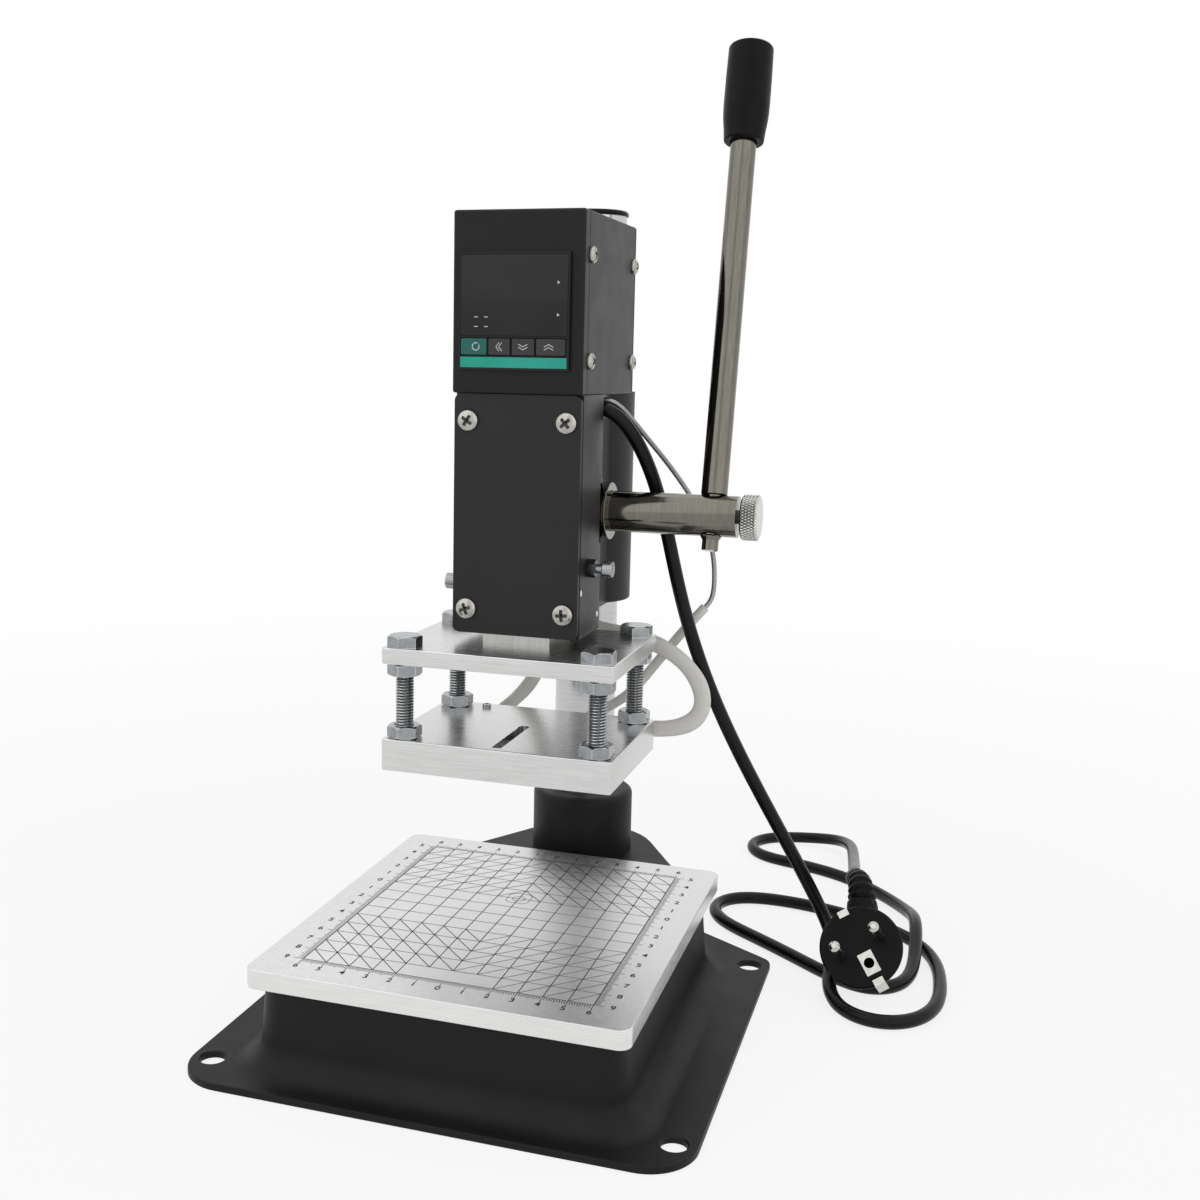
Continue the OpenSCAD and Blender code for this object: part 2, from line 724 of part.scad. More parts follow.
// Sheet box with open ends, from y0 to y1
module box_tube(y0, y1, grow, t) {
    difference() {
        span([-box_w / 2 - grow, y0, box_z - grow], [box_w / 2 + grow, y1, box_z + box_h + grow]);
        span([-box_w / 2 - grow + t, y0 - eps, box_z - grow + t],
            [box_w / 2 + grow - t, y1 + eps, box_z + box_h + grow - t]);
    }
}
module box_side_sites() {
    for (s = [-1, 1], z = side_screw_z,
        y = [shell_front + side_screw_y, box_back_y - box_t - side_screw_y - 1])
        translate([s * box_w / 2, y, box_z + z]) rotate([0, s * 90, 0]) children();
}
side_screw_d = 4;
module side_screw_holes() {
    box_side_sites() translate([0, 0, -2 * box_t - tongue_clr - eps])
        cylinder(h = 2 * box_t + tongue_clr + 2 * eps, d = side_screw_d + screw_clr);
}
module box_front() {
    color([0.1, 0.1, 0.11])
    difference() {
        union() {
            box_tube(box_front_y, shell_front, 0, box_t);
            span([-box_w / 2, box_front_y, box_z], [box_w / 2, box_front_y + box_t, box_z + box_h]);
            box_tube(box_front_y + box_t / 2, shell_front + tongue, -box_t - tongue_clr, box_t);
        }
        translate([ctrl_x, box_front_y + box_t / 2, ctrl_z])
            cube([case_s + 2 * case_clr, 2 * box_t, case_s + 2 * case_clr], center = true);
        side_screw_holes();
        box_mount_sites() translate([0, 0, -box_t - eps]) cylinder(h = 3 * box_t, d = 10);
    }
}
module box_shell() {
    color([0.12, 0.12, 0.13])
    difference() {
        box_tube(shell_front, box_back_y - box_t, 0, box_t);
        side_screw_holes();
        box_mount_sites() translate([0, 0, -box_t - eps])
            cylinder(h = box_t + 2 * eps, d = box_screw_d + screw_clr);
        span([-pass_w / 2 + 3, pocket_front + 12, box_z - eps],
            [pass_w / 2 - 3, pass_front + 6, box_z + box_t + eps]);
    }
}
module box_back() {
    color([0.12, 0.12, 0.13])
    difference() {
        union() {
            span([-box_w / 2, box_back_y - box_t, box_z], [box_w / 2, box_back_y, box_z + box_h]);
            box_tube(box_back_y - box_t - tongue, box_back_y - box_t / 2, -box_t - tongue_clr, box_t);
        }
        side_screw_holes();
        box_mount_sites() translate([0, 0, -box_t - eps]) cylinder(h = 3 * box_t + 2, d = 10);
    }
}
module box_screws() {
    color([0.75, 0.75, 0.76])
    box_side_sites() pan_screw(side_screw_d, 2 * box_t + tongue_clr + 1.5, 7, 2.4);
}
module box_mount_screws() {
    color([0.6, 0.6, 0.62])
    box_mount_sites() pan_screw(box_screw_d, box_screw_len + box_t - 0.3, box_screw_head, 2.6);
}

// Controller face: places from the middle of the bezel
bezel_front = box_front_y - bezel_t;
face_top = bezel / 2 - 1.1;
strip_bottom = -bezel / 2 + 0.9;
strip_top = strip_bottom + 4.5;
key_bottom = strip_top + 0.8;
key_top = key_bottom + 6.7;
lens_bottom = key_top + 1;
face_side = bezel / 2 - 0.8;
key_gap = 0.8;
key_edges = [-face_side, -face_side + 12.1, -face_side + 22.3, -face_side + 32.8, face_side - 0.3];
key_proud = 0.3;
key_t = 1.2;
pocket_t = key_t - key_proud + key_travel + 0.2;
lens_t = 0.8;
module on_face(x0, x1, z0, z1, y0, y1) {
    span([ctrl_x + x0, y0, ctrl_z + z0], [ctrl_x + x1, y1, ctrl_z + z1]);
}
module key_cap(i) {
    on_face(key_edges[i] + key_gap / 2, key_edges[i + 1] - key_gap / 2, key_bottom, key_top,
        bezel_front - key_proud, bezel_front - key_proud + key_t);
}
module controller_body() {
    color([0.09, 0.09, 0.1])
    difference() {
        union() {
            on_face(-bezel / 2, bezel / 2, -bezel / 2, bezel / 2, bezel_front, box_front_y);
            on_face(-case_s / 2, case_s / 2, -case_s / 2, case_s / 2, box_front_y - bezel_t / 2,
                box_front_y + case_d);
        }
        on_face(-face_side, face_side, lens_bottom, face_top, bezel_front - eps, bezel_front + lens_t);
        on_face(-face_side, face_side, strip_bottom, strip_top, bezel_front - eps, bezel_front + lens_t);
        for (i = [0:3]) on_face(key_edges[i] + key_gap / 2 - key_clr,
            key_edges[i + 1] - key_gap / 2 + key_clr,
            key_bottom - key_clr, key_top + key_clr, bezel_front - eps, bezel_front + pocket_t);
    }
}
module display_lens() {
    color([0.05, 0.05, 0.06])
    on_face(-face_side + fit_clr, face_side - fit_clr, lens_bottom + fit_clr, face_top - fit_clr,
        bezel_front, bezel_front + lens_t);
}
module controller_strip() {
    color([0.1, 0.55, 0.55])
    on_face(-face_side + fit_clr, face_side - fit_clr, strip_bottom + fit_clr, strip_top - fit_clr,
        bezel_front, bezel_front + lens_t);
}
module key_set() {
    color([0.1, 0.55, 0.55]) key_cap(0);
}
module key_shift() {
    color([0.35, 0.36, 0.38]) key_cap(1);
}
module key_down() {
    color([0.35, 0.36, 0.38]) key_cap(2);
}
module key_up() {
    color([0.35, 0.36, 0.38]) key_cap(3);
}
clamp_rim = 1.6;
clamp_len = 5;
module controller_clamp() {
    color([0.3, 0.3, 0.32])
    difference() {
        on_face(-case_s / 2 - clamp_rim, case_s / 2 + clamp_rim, -case_s / 2 - clamp_rim,
            case_s / 2 + clamp_rim,
            box_front_y + box_t, box_front_y + box_t + clamp_len);
        on_face(-case_s / 2 - fit_clr, case_s / 2 + fit_clr, -case_s / 2 - fit_clr, case_s / 2 + fit_clr,
            box_front_y, box_front_y + box_t + clamp_len + eps);
    }
}

// Involute tooth, half angle at radius r
pressure = 20;
function inv(a) = tan(a) * 180 / PI - a;
base_r = pitch_r * cos(pressure);
half_tooth = 90 / gear_z - backlash / pitch_r * 180 / PI;
function flank(r) = half_tooth + inv(pressure) - (r > base_r ? inv(acos(base_r / r)) : 0);
flank_r = [for (k = [0:5]) root_r + (tip_r - root_r) * k / 5];
gear_points = [
    for (i = [0:gear_z - 1]) let(mid = 180 + 360 * i / gear_z)
        each concat(
            [for (r = flank_r) [r * cos(mid - flank(r)), r * sin(mid - flank(r))]],
            [for (k = [len(flank_r) - 1:-1:0])
                let(r = flank_r[k]) [r * cos(mid + flank(r)), r * sin(mid + flank(r))]]
        )
];
lever_neck = 8;
lever_thread = 4;
thumb_d = 6;
module lever_place() {
    translate([lever_x, shaft_y, shaft_z]) rotate([-lever_lean, 0, 0]) children();
}
right_bush_in = channel_right + bush_gap;
left_bush_in = channel_left - bush_gap;
module pinion_shaft() {
    color([0.75, 0.75, 0.74])
    difference() {
        union() {
            translate([0, shaft_y, shaft_z]) {
                bar_x(right_bush_in, shaft_right, shaft_d);
                bar_x(left_flange_end - ring_play, right_bush_in, core_d);
                bar_x(left_flange_end - ring_play - ring_t, left_flange_end - ring_play, core_d - 3);
                bar_x(shaft_left, left_flange_end - ring_play - ring_t, core_d);
            }
            translate([-gear_w / 2, shaft_y, shaft_z]) rotate([90, 0, 90]) linear_extrude(gear_w)
                polygon(gear_points);
        }
        lever_place() translate([0, 0, -shaft_d]) cylinder(h = 2 * shaft_d, d = lever_neck + fit_clr);
        translate([0, shaft_y, shaft_z]) bar_x(lever_x, shaft_right + eps, thumb_d + 2 * turn_clr);
    }
}
module shaft_bush_right() {
    color([0.85, 0.85, 0.84])
    translate([0, shaft_y, shaft_z]) difference() {
        union() {
            bar_x(right_bush_in, recess_x, bush_od);
            bar_x(recess_x, recess_x + recess_t + bush_out, bush_flange_d);
        }
        bar_x(0, head_w, shaft_d + 2 * turn_clr);
    }
}
module shaft_bush_left() {
    color([0.85, 0.85, 0.84])
    translate([0, shaft_y, shaft_z]) difference() {
        union() {
            bar_x(-recess_x, left_bush_in, bush_od);
            bar_x(left_flange_end, -recess_x, bush_flange_d);
        }
        bar_x(-head_w, 0, core_d + 2 * turn_clr);
    }
}
module shaft_retaining_ring() {
    color([0.4, 0.4, 0.42])
    translate([0, shaft_y, shaft_z]) difference() {
        bar_x(left_flange_end - ring_play - ring_t, left_flange_end - ring_play, core_d + 5);
        bar_x(-head_w, 0, core_d - 3);
    }
}
nut_len = 6.2;
grip_bore = 36;
module lever_rod() {
    color([0.78, 0.78, 0.77])
    lever_place() {
        translate([0, 0, shaft_d / 2 + 0.05])
            cylinder(h = lever_len - grip_len + grip_bore - shaft_d / 2 - 0.05, d = lever_d);
        translate([0, 0, -shaft_d / 2 + 0.3]) cylinder(h = shaft_d - 0.2, d = lever_neck);
        translate([0, 0, -shaft_d / 2 - nut_len + 1.5]) cylinder(h = nut_len, d = lever_thread);
    }
}
module lever_nut() {
    color([0.78, 0.78, 0.77])
    lever_place() translate([0, 0, -shaft_d / 2 - nut_len - 0.05]) difference() {
        union() {
            cylinder(h = nut_len - 1.6, d = 7.2);
            translate([0, 0, nut_len - 1.6]) cylinder(h = 1.6, d1 = 7.2, d2 = 9.4);
        }
        translate([0, 0, 1.2]) cylinder(h = nut_len, d = lever_thread + fit_clr);
    }
}
grip_foot_d = 17.8;
grip_top_d = 20;
grip_edge = 1.6;
grip_dome = 1.5;
module lever_grip() {
    color([0.1, 0.1, 0.1])
    lever_place() translate([0, 0, lever_len - grip_len]) rotate_extrude() difference() {
        union() {
            polygon([
                [0, 0], [grip_foot_d / 2 - 0.8, 0], [grip_foot_d / 2, 0.8],
                [grip_foot_d / 2 + 0.4, grip_len * 0.12], [grip_d / 2 - 0.3, grip_len * 0.27],
                [grip_d / 2, grip_len * 0.38], [grip_d / 2, grip_len * 0.6],
                [grip_top_d / 2, grip_len - grip_dome - grip_edge],
                [grip_top_d / 2 - grip_edge * 0.3, grip_len - grip_dome - grip_edge * 0.3],
                [grip_top_d / 2 - grip_edge, grip_len - grip_dome],
                [grip_top_d / 4, grip_len - grip_dome * 0.3], [0, grip_len]
            ]);
        }
        translate([-1, -eps]) square([lever_d / 2 + fit_clr / 2 + 1, grip_bore + eps + 0.2]);
    }
}
knob_neck = 1.7;
module thumb_screw() {
    color([0.78, 0.78, 0.77])
    translate([0, shaft_y, shaft_z]) {
        bar_x(lever_x + lever_neck / 2 + 0.3, shaft_right + knob_neck, thumb_d);
        bar_x(shaft_right + knob_neck, shaft_right + knob_neck + knob_len, knob_d);
    }
}

ram_screw_d = 6;
ram_screw_len = 14;
module ram_screw_sites() {
    for (s = [0.3, 0.75]) translate([0, ram_front + s * ram_d, upper_z]) rotate([180, 0, 0]) children();
}
rack_half = tooth_pitch / 4 - backlash;
module rack_space(z) {
    top = tooth_pitch / 2 - rack_half + rack_add * tan(pressure);
    low = tooth_pitch / 2 - rack_half - rack_ded * tan(pressure);
    deep = rack_add + rack_ded;
    wide = top + eps * tan(pressure);
    translate([-ram_w / 2 - eps, ram_back - deep, z]) rotate([90, 0, 90]) linear_extrude(ram_w + 2 * eps)
        polygon([[0, -low], [deep + eps, -wide], [deep + eps, wide], [0, low]]);
}
module ram() {
    color([0.6, 0.6, 0.6])
    difference() {
        span([-ram_w / 2, ram_front, upper_top], [ram_w / 2, ram_back, upper_top + ram_len]);
        for (i = [-3:8]) rack_space(shaft_z + i * tooth_pitch);
        ram_screw_sites() translate([0, 0, -ram_screw_len - 0.5])
            cylinder(h = ram_screw_len + 1, d = ram_screw_d + screw_clr);
    }
}
module ram_screws() {
    color([0.2, 0.2, 0.21])
    ram_screw_sites() pan_screw(ram_screw_d, ram_screw_len, 10, 4);
}

module plate_slab(z, t) {
    translate([0, plate_mid, z]) linear_extrude(t) rounded_rect(plate_w, plate_d, plate_r);
}
module bolt_sites(z) {
    for (x = [-1, 1], y = [-1, 1])
        translate([x * (plate_w / 2 - bolt_in_x), plate_mid + y * (plate_d / 2 - bolt_in_y), z]) children();
}
bolt_in = 9;
module upper_plate() {
    color([0.75, 0.75, 0.75])
    difference() {
        plate_slab(upper_z, upper_t);
        bolt_sites(upper_z - eps) cylinder(h = upper_t + 2 * eps, d = bolt_d + screw_clr);
        ram_screw_sites() translate([0, 0, -upper_t - eps])
            cylinder(h = upper_t + 2 * eps, d = ram_screw_d + screw_clr);
    }
}
module plate_bolts() {
    color([0.78, 0.78, 0.78])
    bolt_sites(upper_top) {
        hex(bolt_af, bolt_head_h);
        translate([0, 0, -upper_t - plate_gap - bolt_in])
            cylinder(h = upper_t + plate_gap + bolt_in + 1, d = bolt_d);
    }
}
module bolt_nut() {
    difference() {
        hex(bolt_af, nut_h);
        translate([0, 0, -eps]) cylinder(h = nut_h + 2 * eps, d = bolt_d + fit_clr);
    }
}
module upper_nuts() {
    color([0.78, 0.78, 0.78]) bolt_sites(upper_z - nut_h) bolt_nut();
}
module lower_nuts() {
    color([0.78, 0.78, 0.78]) bolt_sites(heat_top) bolt_nut();
}
gauge_hole_d = 5;
slot_front = plate_mid - plate_d / 2 + 3.75;
clamp_y = plate_back - 7.25;
probe_clamp_y = plate_back - 3.65;
probe_len = 30;
heater_screw_d = 4;
module heating_plate() {
    color([0.78, 0.78, 0.78])
    difference() {
        plate_slab(heat_z, heat_t);
        bolt_sites(heat_top - bolt_in - 0.3) cylinder(h = bolt_in + 1, d = bolt_d + screw_clr);
        for (s = [-1, 1]) translate([s * heater_x, 0, heater_z])
            bar_y(plate_back - heater_len - 1, plate_back + eps, heater_d + fit_clr);
        translate([probe_x, 0, heater_z])
            bar_y(plate_back - probe_len - 1, plate_back + eps, probe_d + fit_clr);
        span([-slot_w / 2, slot_front, heat_top - slot_t],
            [slot_w / 2, slot_front + slot_len, heat_top + eps]);
        translate([0, slot_front + slot_len, heat_top - slot_t - 3])
            cylinder(h = slot_t + 4, d = gauge_hole_d);
        translate([-heater_x, clamp_y, heater_z]) cylinder(h = heat_t, d = heater_screw_d + screw_clr);
        translate([probe_x, probe_clamp_y, heater_z]) cylinder(h = heat_t, d = probe_screw_d + screw_clr);
    }
}
module cartridge_heaters() {
    color([0.6, 0.6, 0.6])
    for (s = [-1, 1]) translate([s * heater_x, 0, heater_z])
        bar_y(plate_back - heater_len, plate_back, heater_d);
}
probe_screw_d = 3;
module heater_set_screws() {
    color([0.7, 0.7, 0.7]) {
        translate([-heater_x, clamp_y, heat_top + 1.6])
            set_screw(heater_screw_d, heat_t / 2 - heater_d / 2 + 1.5);
        translate([probe_x, probe_clamp_y, heat_top - 0.3])
            set_screw(probe_screw_d, heat_t / 2 - probe_d / 2 - 0.4);
    }
}
probe_out = 6;
module thermocouple_probe() {
    color([0.75, 0.75, 0.75])
    translate([probe_x, 0, heater_z]) {
        bar_y(plate_back - probe_len, plate_back + probe_out - 2, probe_d);
        bar_y(plate_back + probe_out - 2, plate_back + probe_out, probe_sleeve_d + 1);
    }
}

// Terminal block in the pocket, where the leads end
module terminal_block() {
    color([0.85, 0.85, 0.8])
    span([-pass_w / 2 + 0.5, pocket_front + 0.3, pocket_z], [block_right, block_back_y, head_top - 0.4]);
}
// Leads: offsets from what they join
probe_end = [probe_x, plate_back + probe_out, heater_z];
sleeve_start = probe_end + [53.6, 25.25, 54.2];
sleeve_points = [
    probe_end, probe_end + [0, 5, 0], probe_end + [6, 9, 3], probe_end + [22, 9, 12],
    probe_end + [32, 13.75, 26], probe_end + [43, 18.75, 41], sleeve_start - [2.8, 2.1, 3.3], sleeve_start
];
braid_out = [head_w / 2, braid_y, braid_z];
cable_points = [
    sleeve_start, sleeve_start + 1.2 * [2.8, 2.1, 3.3], sleeve_start + [3.6, 3.3, 14.7],
        sleeve_start + [2.6, 2.7, 25.7],
    braid_out + [36.8, 37.2, -56], braid_out + [30, 30.4, -42], braid_out + [20.8, 20.9, -27],
        braid_out + [13, 12.4, -16],
    braid_out + [7, 4.9, -6.5], braid_out + [1.5, 0.4, -0.2], [braid_out[0] - 6, braid_y, braid_z],
    [(braid_out[0] - 6 + block_right) / 2, braid_y, braid_z], [block_right, braid_y, braid_z]
];
lead_top = [-7, 5];
lead_end_z = pocket_z + 4.6;
module heater_lead(points) {
    color([0.9, 0.89, 0.84]) plain_tube(points, lead_d, 34, 8);
}
left_end = [-heater_x, plate_back, heater_z];
left_points = [
    left_end, left_end + [0, 7, 0], left_end + [4, 14, 4], left_end + [14, 17, 14], left_end + [20, 19, 30],
    [lead_top[0] + 1, pass_front + 10, head_z - 6.3], [lead_top[0], pass_front + 11, head_z + 18.7],
    [lead_top[0], pass_front + 11, head_z + 0.53 * (pocket_z - head_z)],
        [lead_top[0], pass_front + 11, pocket_z - 13],
    [lead_top[0], pass_front + 9, pocket_z], [lead_top[0], pass_front + 4, lead_end_z],
        [lead_top[0], block_back_y, lead_end_z]
];
right_end = [heater_x, plate_back, heater_z];
right_points = [
    right_end, right_end + [0, 6, 0], right_end + [8, 11.5, -0.5], right_end + [22, 11.5, -1],
        right_end + [36, 11, 2],
    right_end + [43, 11, 10], right_end + [42, 11, 21], right_end + [34, 11, 32],
        right_end + [20, 11.5, 40],
    [lead_top[1] + 25, pass_front + 4, head_z - 7.8], [lead_top[1] + 10, pass_front + 9.5, head_z - 8.8],
    [lead_top[1] + 1.5, pass_front + 12.5, head_z + 0.7], [lead_top[1], pass_front + 13, head_z + 18.7],
    [lead_top[1], pass_front + 13, head_z + 0.5 * (pocket_z - head_z)],
        [lead_top[1], pass_front + 12, pocket_z - 14],
    [lead_top[1], pass_front + 9, pocket_z], [lead_top[1], pass_front + 4, lead_end_z],
        [lead_top[1], block_back_y, lead_end_z]
];
module thermocouple_sleeve() {
    color([0.88, 0.88, 0.86]) plain_tube(sleeve_points, probe_sleeve_d, 20, 8);
}
module thermocouple_cable() {
    color([0.5, 0.5, 0.5]) plain_tube(cable_points, braid_d, 30, 8);
}
module heater_lead_left() {
    heater_lead(left_points);
}
module heater_lead_right() {
    heater_lead(right_points);
}

// Mains lead: out of the notch, down to the floor, and round the plug
cord_points = [
    [9, 48.6, 262.4], [19, 48.6, 262.4], [29, 48.6, 262.4], [38, 53.5, 253], [46, 64, 232],
        [52, 68.5, 206], [59.5, 71.5, 170],
    [73, 78, 130], [91, 90, 90], [109, 102, 54], [122, 108, 28], [131, 101, 14], [132, 83, 10.8],
        [132, 66, 6.5],
    [138, 49, 3.2], [155, 40, 3.2], [172, 47, 3.2], [181, 66, 3.2], [181, 92, 3.2], [178, 117, 3.2],
        [167, 138, 3.2],
    [148, 153, 3.2], [122, 164, 3.2], [94, 169, 3.2], [72, 165, 3.2], [63, 147, 3.2], [72, 129, 3.2],
        [90, 116, 3.2],
    [112, 99, 3.2], [132, 82, 3.2], [149, 73, 3.2], [163, 81, 3.2], [168, 98, 3.2], [168, 118, 7],
        [167, 140, 13.4],
    [163, 165, 6.5], [149, 193, 3.2], [126, 216, 3.2], [98, 227, 3.2], [75, 232, 3.2], [65, 250, 3.2],
        [75, 268, 3.2],
    [96, 272, 4], [116, 268, 6.5], [125, 250, 10], [128, 226, 14], [131, 195, 20], [134, 162, 28],
        [137, 130, 36]
];
cord_steps = 78;
cord_sides = 10;
module power_cord() {
    color([0.07, 0.07, 0.07]) plain_tube(cord_points, cord_d, cord_steps, cord_sides);
}
echo(cord_self_gap = self_gap(curve(cord_points, 360), cord_d));
cord_run = path_length(curve(cord_points, 360));
echo(cord_length = cord_run[len(cord_run) - 1]);
grommet_t = 4;
module cord_grommet() {
    color([0.1, 0.1, 0.1])
    difference() {
        span([side_x(exit_y) - grommet_t, notch_front + fit_clr, pocket_z],
            [side_x(exit_y) - 0.2, notch_front + notch_w - fit_clr, head_top - 0.1]);
        translate([0, exit_y, exit_z]) bar_x(channel_right, head_w, cord_d + cord_play);
        translate([0, braid_y, braid_z]) bar_x(channel_right, head_w, braid_d + cord_play);
    }
}

// Plug: the face looks along its own z, with the pins on its own x
plug_at = [146, 66, 26];
plug_tilt = 55;
plug_yaw = -8.4;
plug_roll = 38;
collar_turn = 12;
collar_d = 14;
collar_end = plug_r + 2;
collar_back = 9;
module plug_place() {
    translate(plug_at) rotate([plug_tilt, 0, plug_yaw]) children();
}
function spin(v, a) = [v[0] * cos(a) - v[1] * sin(a), v[0] * sin(a) + v[1] * cos(a), v[2]];
function tip_up(v, a) = [v[0], v[1] * cos(a) - v[2] * sin(a), v[1] * sin(a) + v[2] * cos(a)];
function plug_point(v) = plug_at + spin(tip_up(v, plug_tilt), plug_yaw);
collar_dir = [-sin(collar_turn), cos(collar_turn), 0];
relief_from = plug_point(collar_end * collar_dir - [0, 0, collar_back]);
relief_next = plug_point((collar_end + 7) * collar_dir - [0, 0, collar_back]);
relief_points = [relief_from, relief_next, [141.4, 99.5, 45.2], [138, 112, 40.5], [137, 130, 36]];
socket_d = 4.6;
socket_y = -8;
plate_size = [7, 10.5];
clip_w = 5;
module plug_body() {
    color([0.06, 0.06, 0.06])
    plug_place() difference() {
        union() {
            translate([0, 0, -16]) rotate_extrude() polygon([
                [0, 0], [11, 0], [13, 1.2], [plug_r - 2.4, 8], [plug_r - 1, 11.5],
                [plug_r, 14.6], [plug_r, 15.2], [plug_r - 0.8, 16], [0, 16]
            ]);
            translate([0, 0, -collar_back]) rotate([0, 0, collar_turn]) bar_y(0, collar_end, collar_d);
        }
        rotate([0, 0, plug_roll]) {
            for (s = [-1, 1]) translate([s * 9.5, 0, -8]) cylinder(h = 9, d = pin_d + fit_clr);
            translate([0, socket_y, -10]) cylinder(h = 11, d = socket_d);
            span([-plate_size[0] / 2, socket_y - plate_size[1] / 2, -0.8],
                [plate_size[0] / 2, socket_y + plate_size[1] / 2, eps]);
            for (s = [-1, 1]) span([-clip_w / 2 - fit_clr, s * (plug_r - 1.6) - 2, -12],
                [clip_w / 2 + fit_clr, s * (plug_r - 1.6) + 2, eps]);
        }
    }
}
module plug_pins() {
    color([0.8, 0.8, 0.8])
    plug_place() rotate([0, 0, plug_roll]) for (s = [-1, 1]) translate([s * 9.5, 0, 0]) {
        translate([0, 0, -7.8]) cylinder(h = pin_len + 6.2, d = pin_d);
        translate([0, 0, pin_len - 1.6]) cylinder(h = 1.6, d1 = pin_d, d2 = pin_d * 0.45);
    }
}
module plug_earth() {
    color([0.8, 0.8, 0.8])
    plug_place() rotate([0, 0, plug_roll]) {
        difference() {
            span([-plate_size[0] / 2 + fit_clr, socket_y - plate_size[1] / 2 + fit_clr, -0.8],
                [plate_size[0] / 2 - fit_clr, socket_y + plate_size[1] / 2 - fit_clr, 0]);
            translate([0, socket_y, -2]) cylinder(h = 4, d = socket_d);
        }
        for (s = [-1, 1]) span([-clip_w / 2, s * (plug_r - 1.6) - 1.6, -12],
            [clip_w / 2, s * (plug_r - 1.6) + 1.6, -0.4]);
    }
}
relief_steps = 28;
function relief_r(i) =
    let(s = i / relief_steps, wide = 7 - 3.4 * s)
    i == 0 || s > 0.62 ? wide : (i % 3 == 0 ? wide - 1.1 : wide);
module plug_relief() {
    color([0.07, 0.07, 0.07])
    tube(relief_points, [for (i = [0:relief_steps]) relief_r(i)], 12);
}

base();
bed_plate();
bed_plate_screws();
column();
column_cap();
column_set_screws();
head_housing();
head_clamp_screws();
front_cover();
front_cover_screws();
side_gib();
gib_screw();
gib_lock_nut();
ram_stop_screw();
gib_set_screws();
box_front();
box_shell();
box_back();
box_screws();
box_mount_screws();
controller_body();
display_lens();
key_set();
key_shift();
key_down();
key_up();
controller_strip();
controller_clamp();
pinion_shaft();
shaft_bush_right();
shaft_bush_left();
shaft_retaining_ring();
lever_rod();
lever_nut();
lever_grip();
thumb_screw();
ram();
ram_screws();
upper_plate();
plate_bolts();
upper_nuts();
lower_nuts();
heating_plate();
cartridge_heaters();
heater_set_screws();
thermocouple_probe();
thermocouple_cable();
thermocouple_sleeve();
heater_lead_left();
heater_lead_right();
terminal_block();
cord_grommet();
power_cord();
plug_body();
plug_relief();
plug_pins();
plug_earth();
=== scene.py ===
"""Looks of a hand-lever hot foil stamping press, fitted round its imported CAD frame.

Sizes are millimetres in the part's own frame, and become metres when a mesh is made.
"""
import json
import math

import bmesh
import bpy
import numpy as np
from mathutils import Matrix, Vector


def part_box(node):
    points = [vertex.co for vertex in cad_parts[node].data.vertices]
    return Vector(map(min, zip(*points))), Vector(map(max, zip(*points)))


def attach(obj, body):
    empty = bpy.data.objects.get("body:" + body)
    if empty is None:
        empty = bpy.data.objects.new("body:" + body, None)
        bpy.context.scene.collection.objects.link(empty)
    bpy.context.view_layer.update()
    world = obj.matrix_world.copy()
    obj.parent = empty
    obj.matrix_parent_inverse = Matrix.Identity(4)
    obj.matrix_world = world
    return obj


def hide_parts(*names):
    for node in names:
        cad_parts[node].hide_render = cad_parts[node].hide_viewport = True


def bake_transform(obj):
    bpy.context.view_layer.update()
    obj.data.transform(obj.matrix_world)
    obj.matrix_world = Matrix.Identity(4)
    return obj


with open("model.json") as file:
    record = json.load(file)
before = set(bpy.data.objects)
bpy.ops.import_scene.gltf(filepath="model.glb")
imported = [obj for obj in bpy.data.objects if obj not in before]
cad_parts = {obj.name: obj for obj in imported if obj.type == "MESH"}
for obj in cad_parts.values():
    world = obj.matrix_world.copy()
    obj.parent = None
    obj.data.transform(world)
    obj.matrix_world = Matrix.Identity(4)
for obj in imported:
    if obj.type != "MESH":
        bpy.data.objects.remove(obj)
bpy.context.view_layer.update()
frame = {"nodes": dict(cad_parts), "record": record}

MM = 0.001
WELD = 1e-6
RECORD = frame["record"]
SLOT_OF = {p["node"]: p["material_slot"] for p in RECORD["subparts"]}
BODY_OF = {n: b for b, nodes in RECORD["behaviour"]["bodies"].items() for n in nodes}
scene = bpy.context.scene


def linked(name, data):
    made = bpy.data.objects.new(name, data)
    scene.collection.objects.link(made)
    return made


# Camera at the photograph's place
CAMERA_AT = (189.2, -548.1, 280.5)
CAMERA_AZIMUTH = 17.735
CAMERA_ELEVATION = 8.202
CAMERA_ROLL = 1.039
CAMERA_LENS = 42.2
CAMERA_SENSOR = 36.0
CAMERA_SHIFT = (0.0495, -0.0268)
CAMERA_NEAR = 10.0


def make_camera():
    data = bpy.data.cameras.new("camera")
    data.lens = CAMERA_LENS
    data.sensor_width = CAMERA_SENSOR
    data.shift_x, data.shift_y = CAMERA_SHIFT
    data.clip_start = CAMERA_NEAR * MM
    camera = linked("camera", data)
    turn = turned("Z", CAMERA_AZIMUTH) @ turned("X", 90 - CAMERA_ELEVATION) @ turned("Z", CAMERA_ROLL)
    camera.matrix_world = at(*(Vector(CAMERA_AT) * MM)) @ turn
    scene.camera = camera


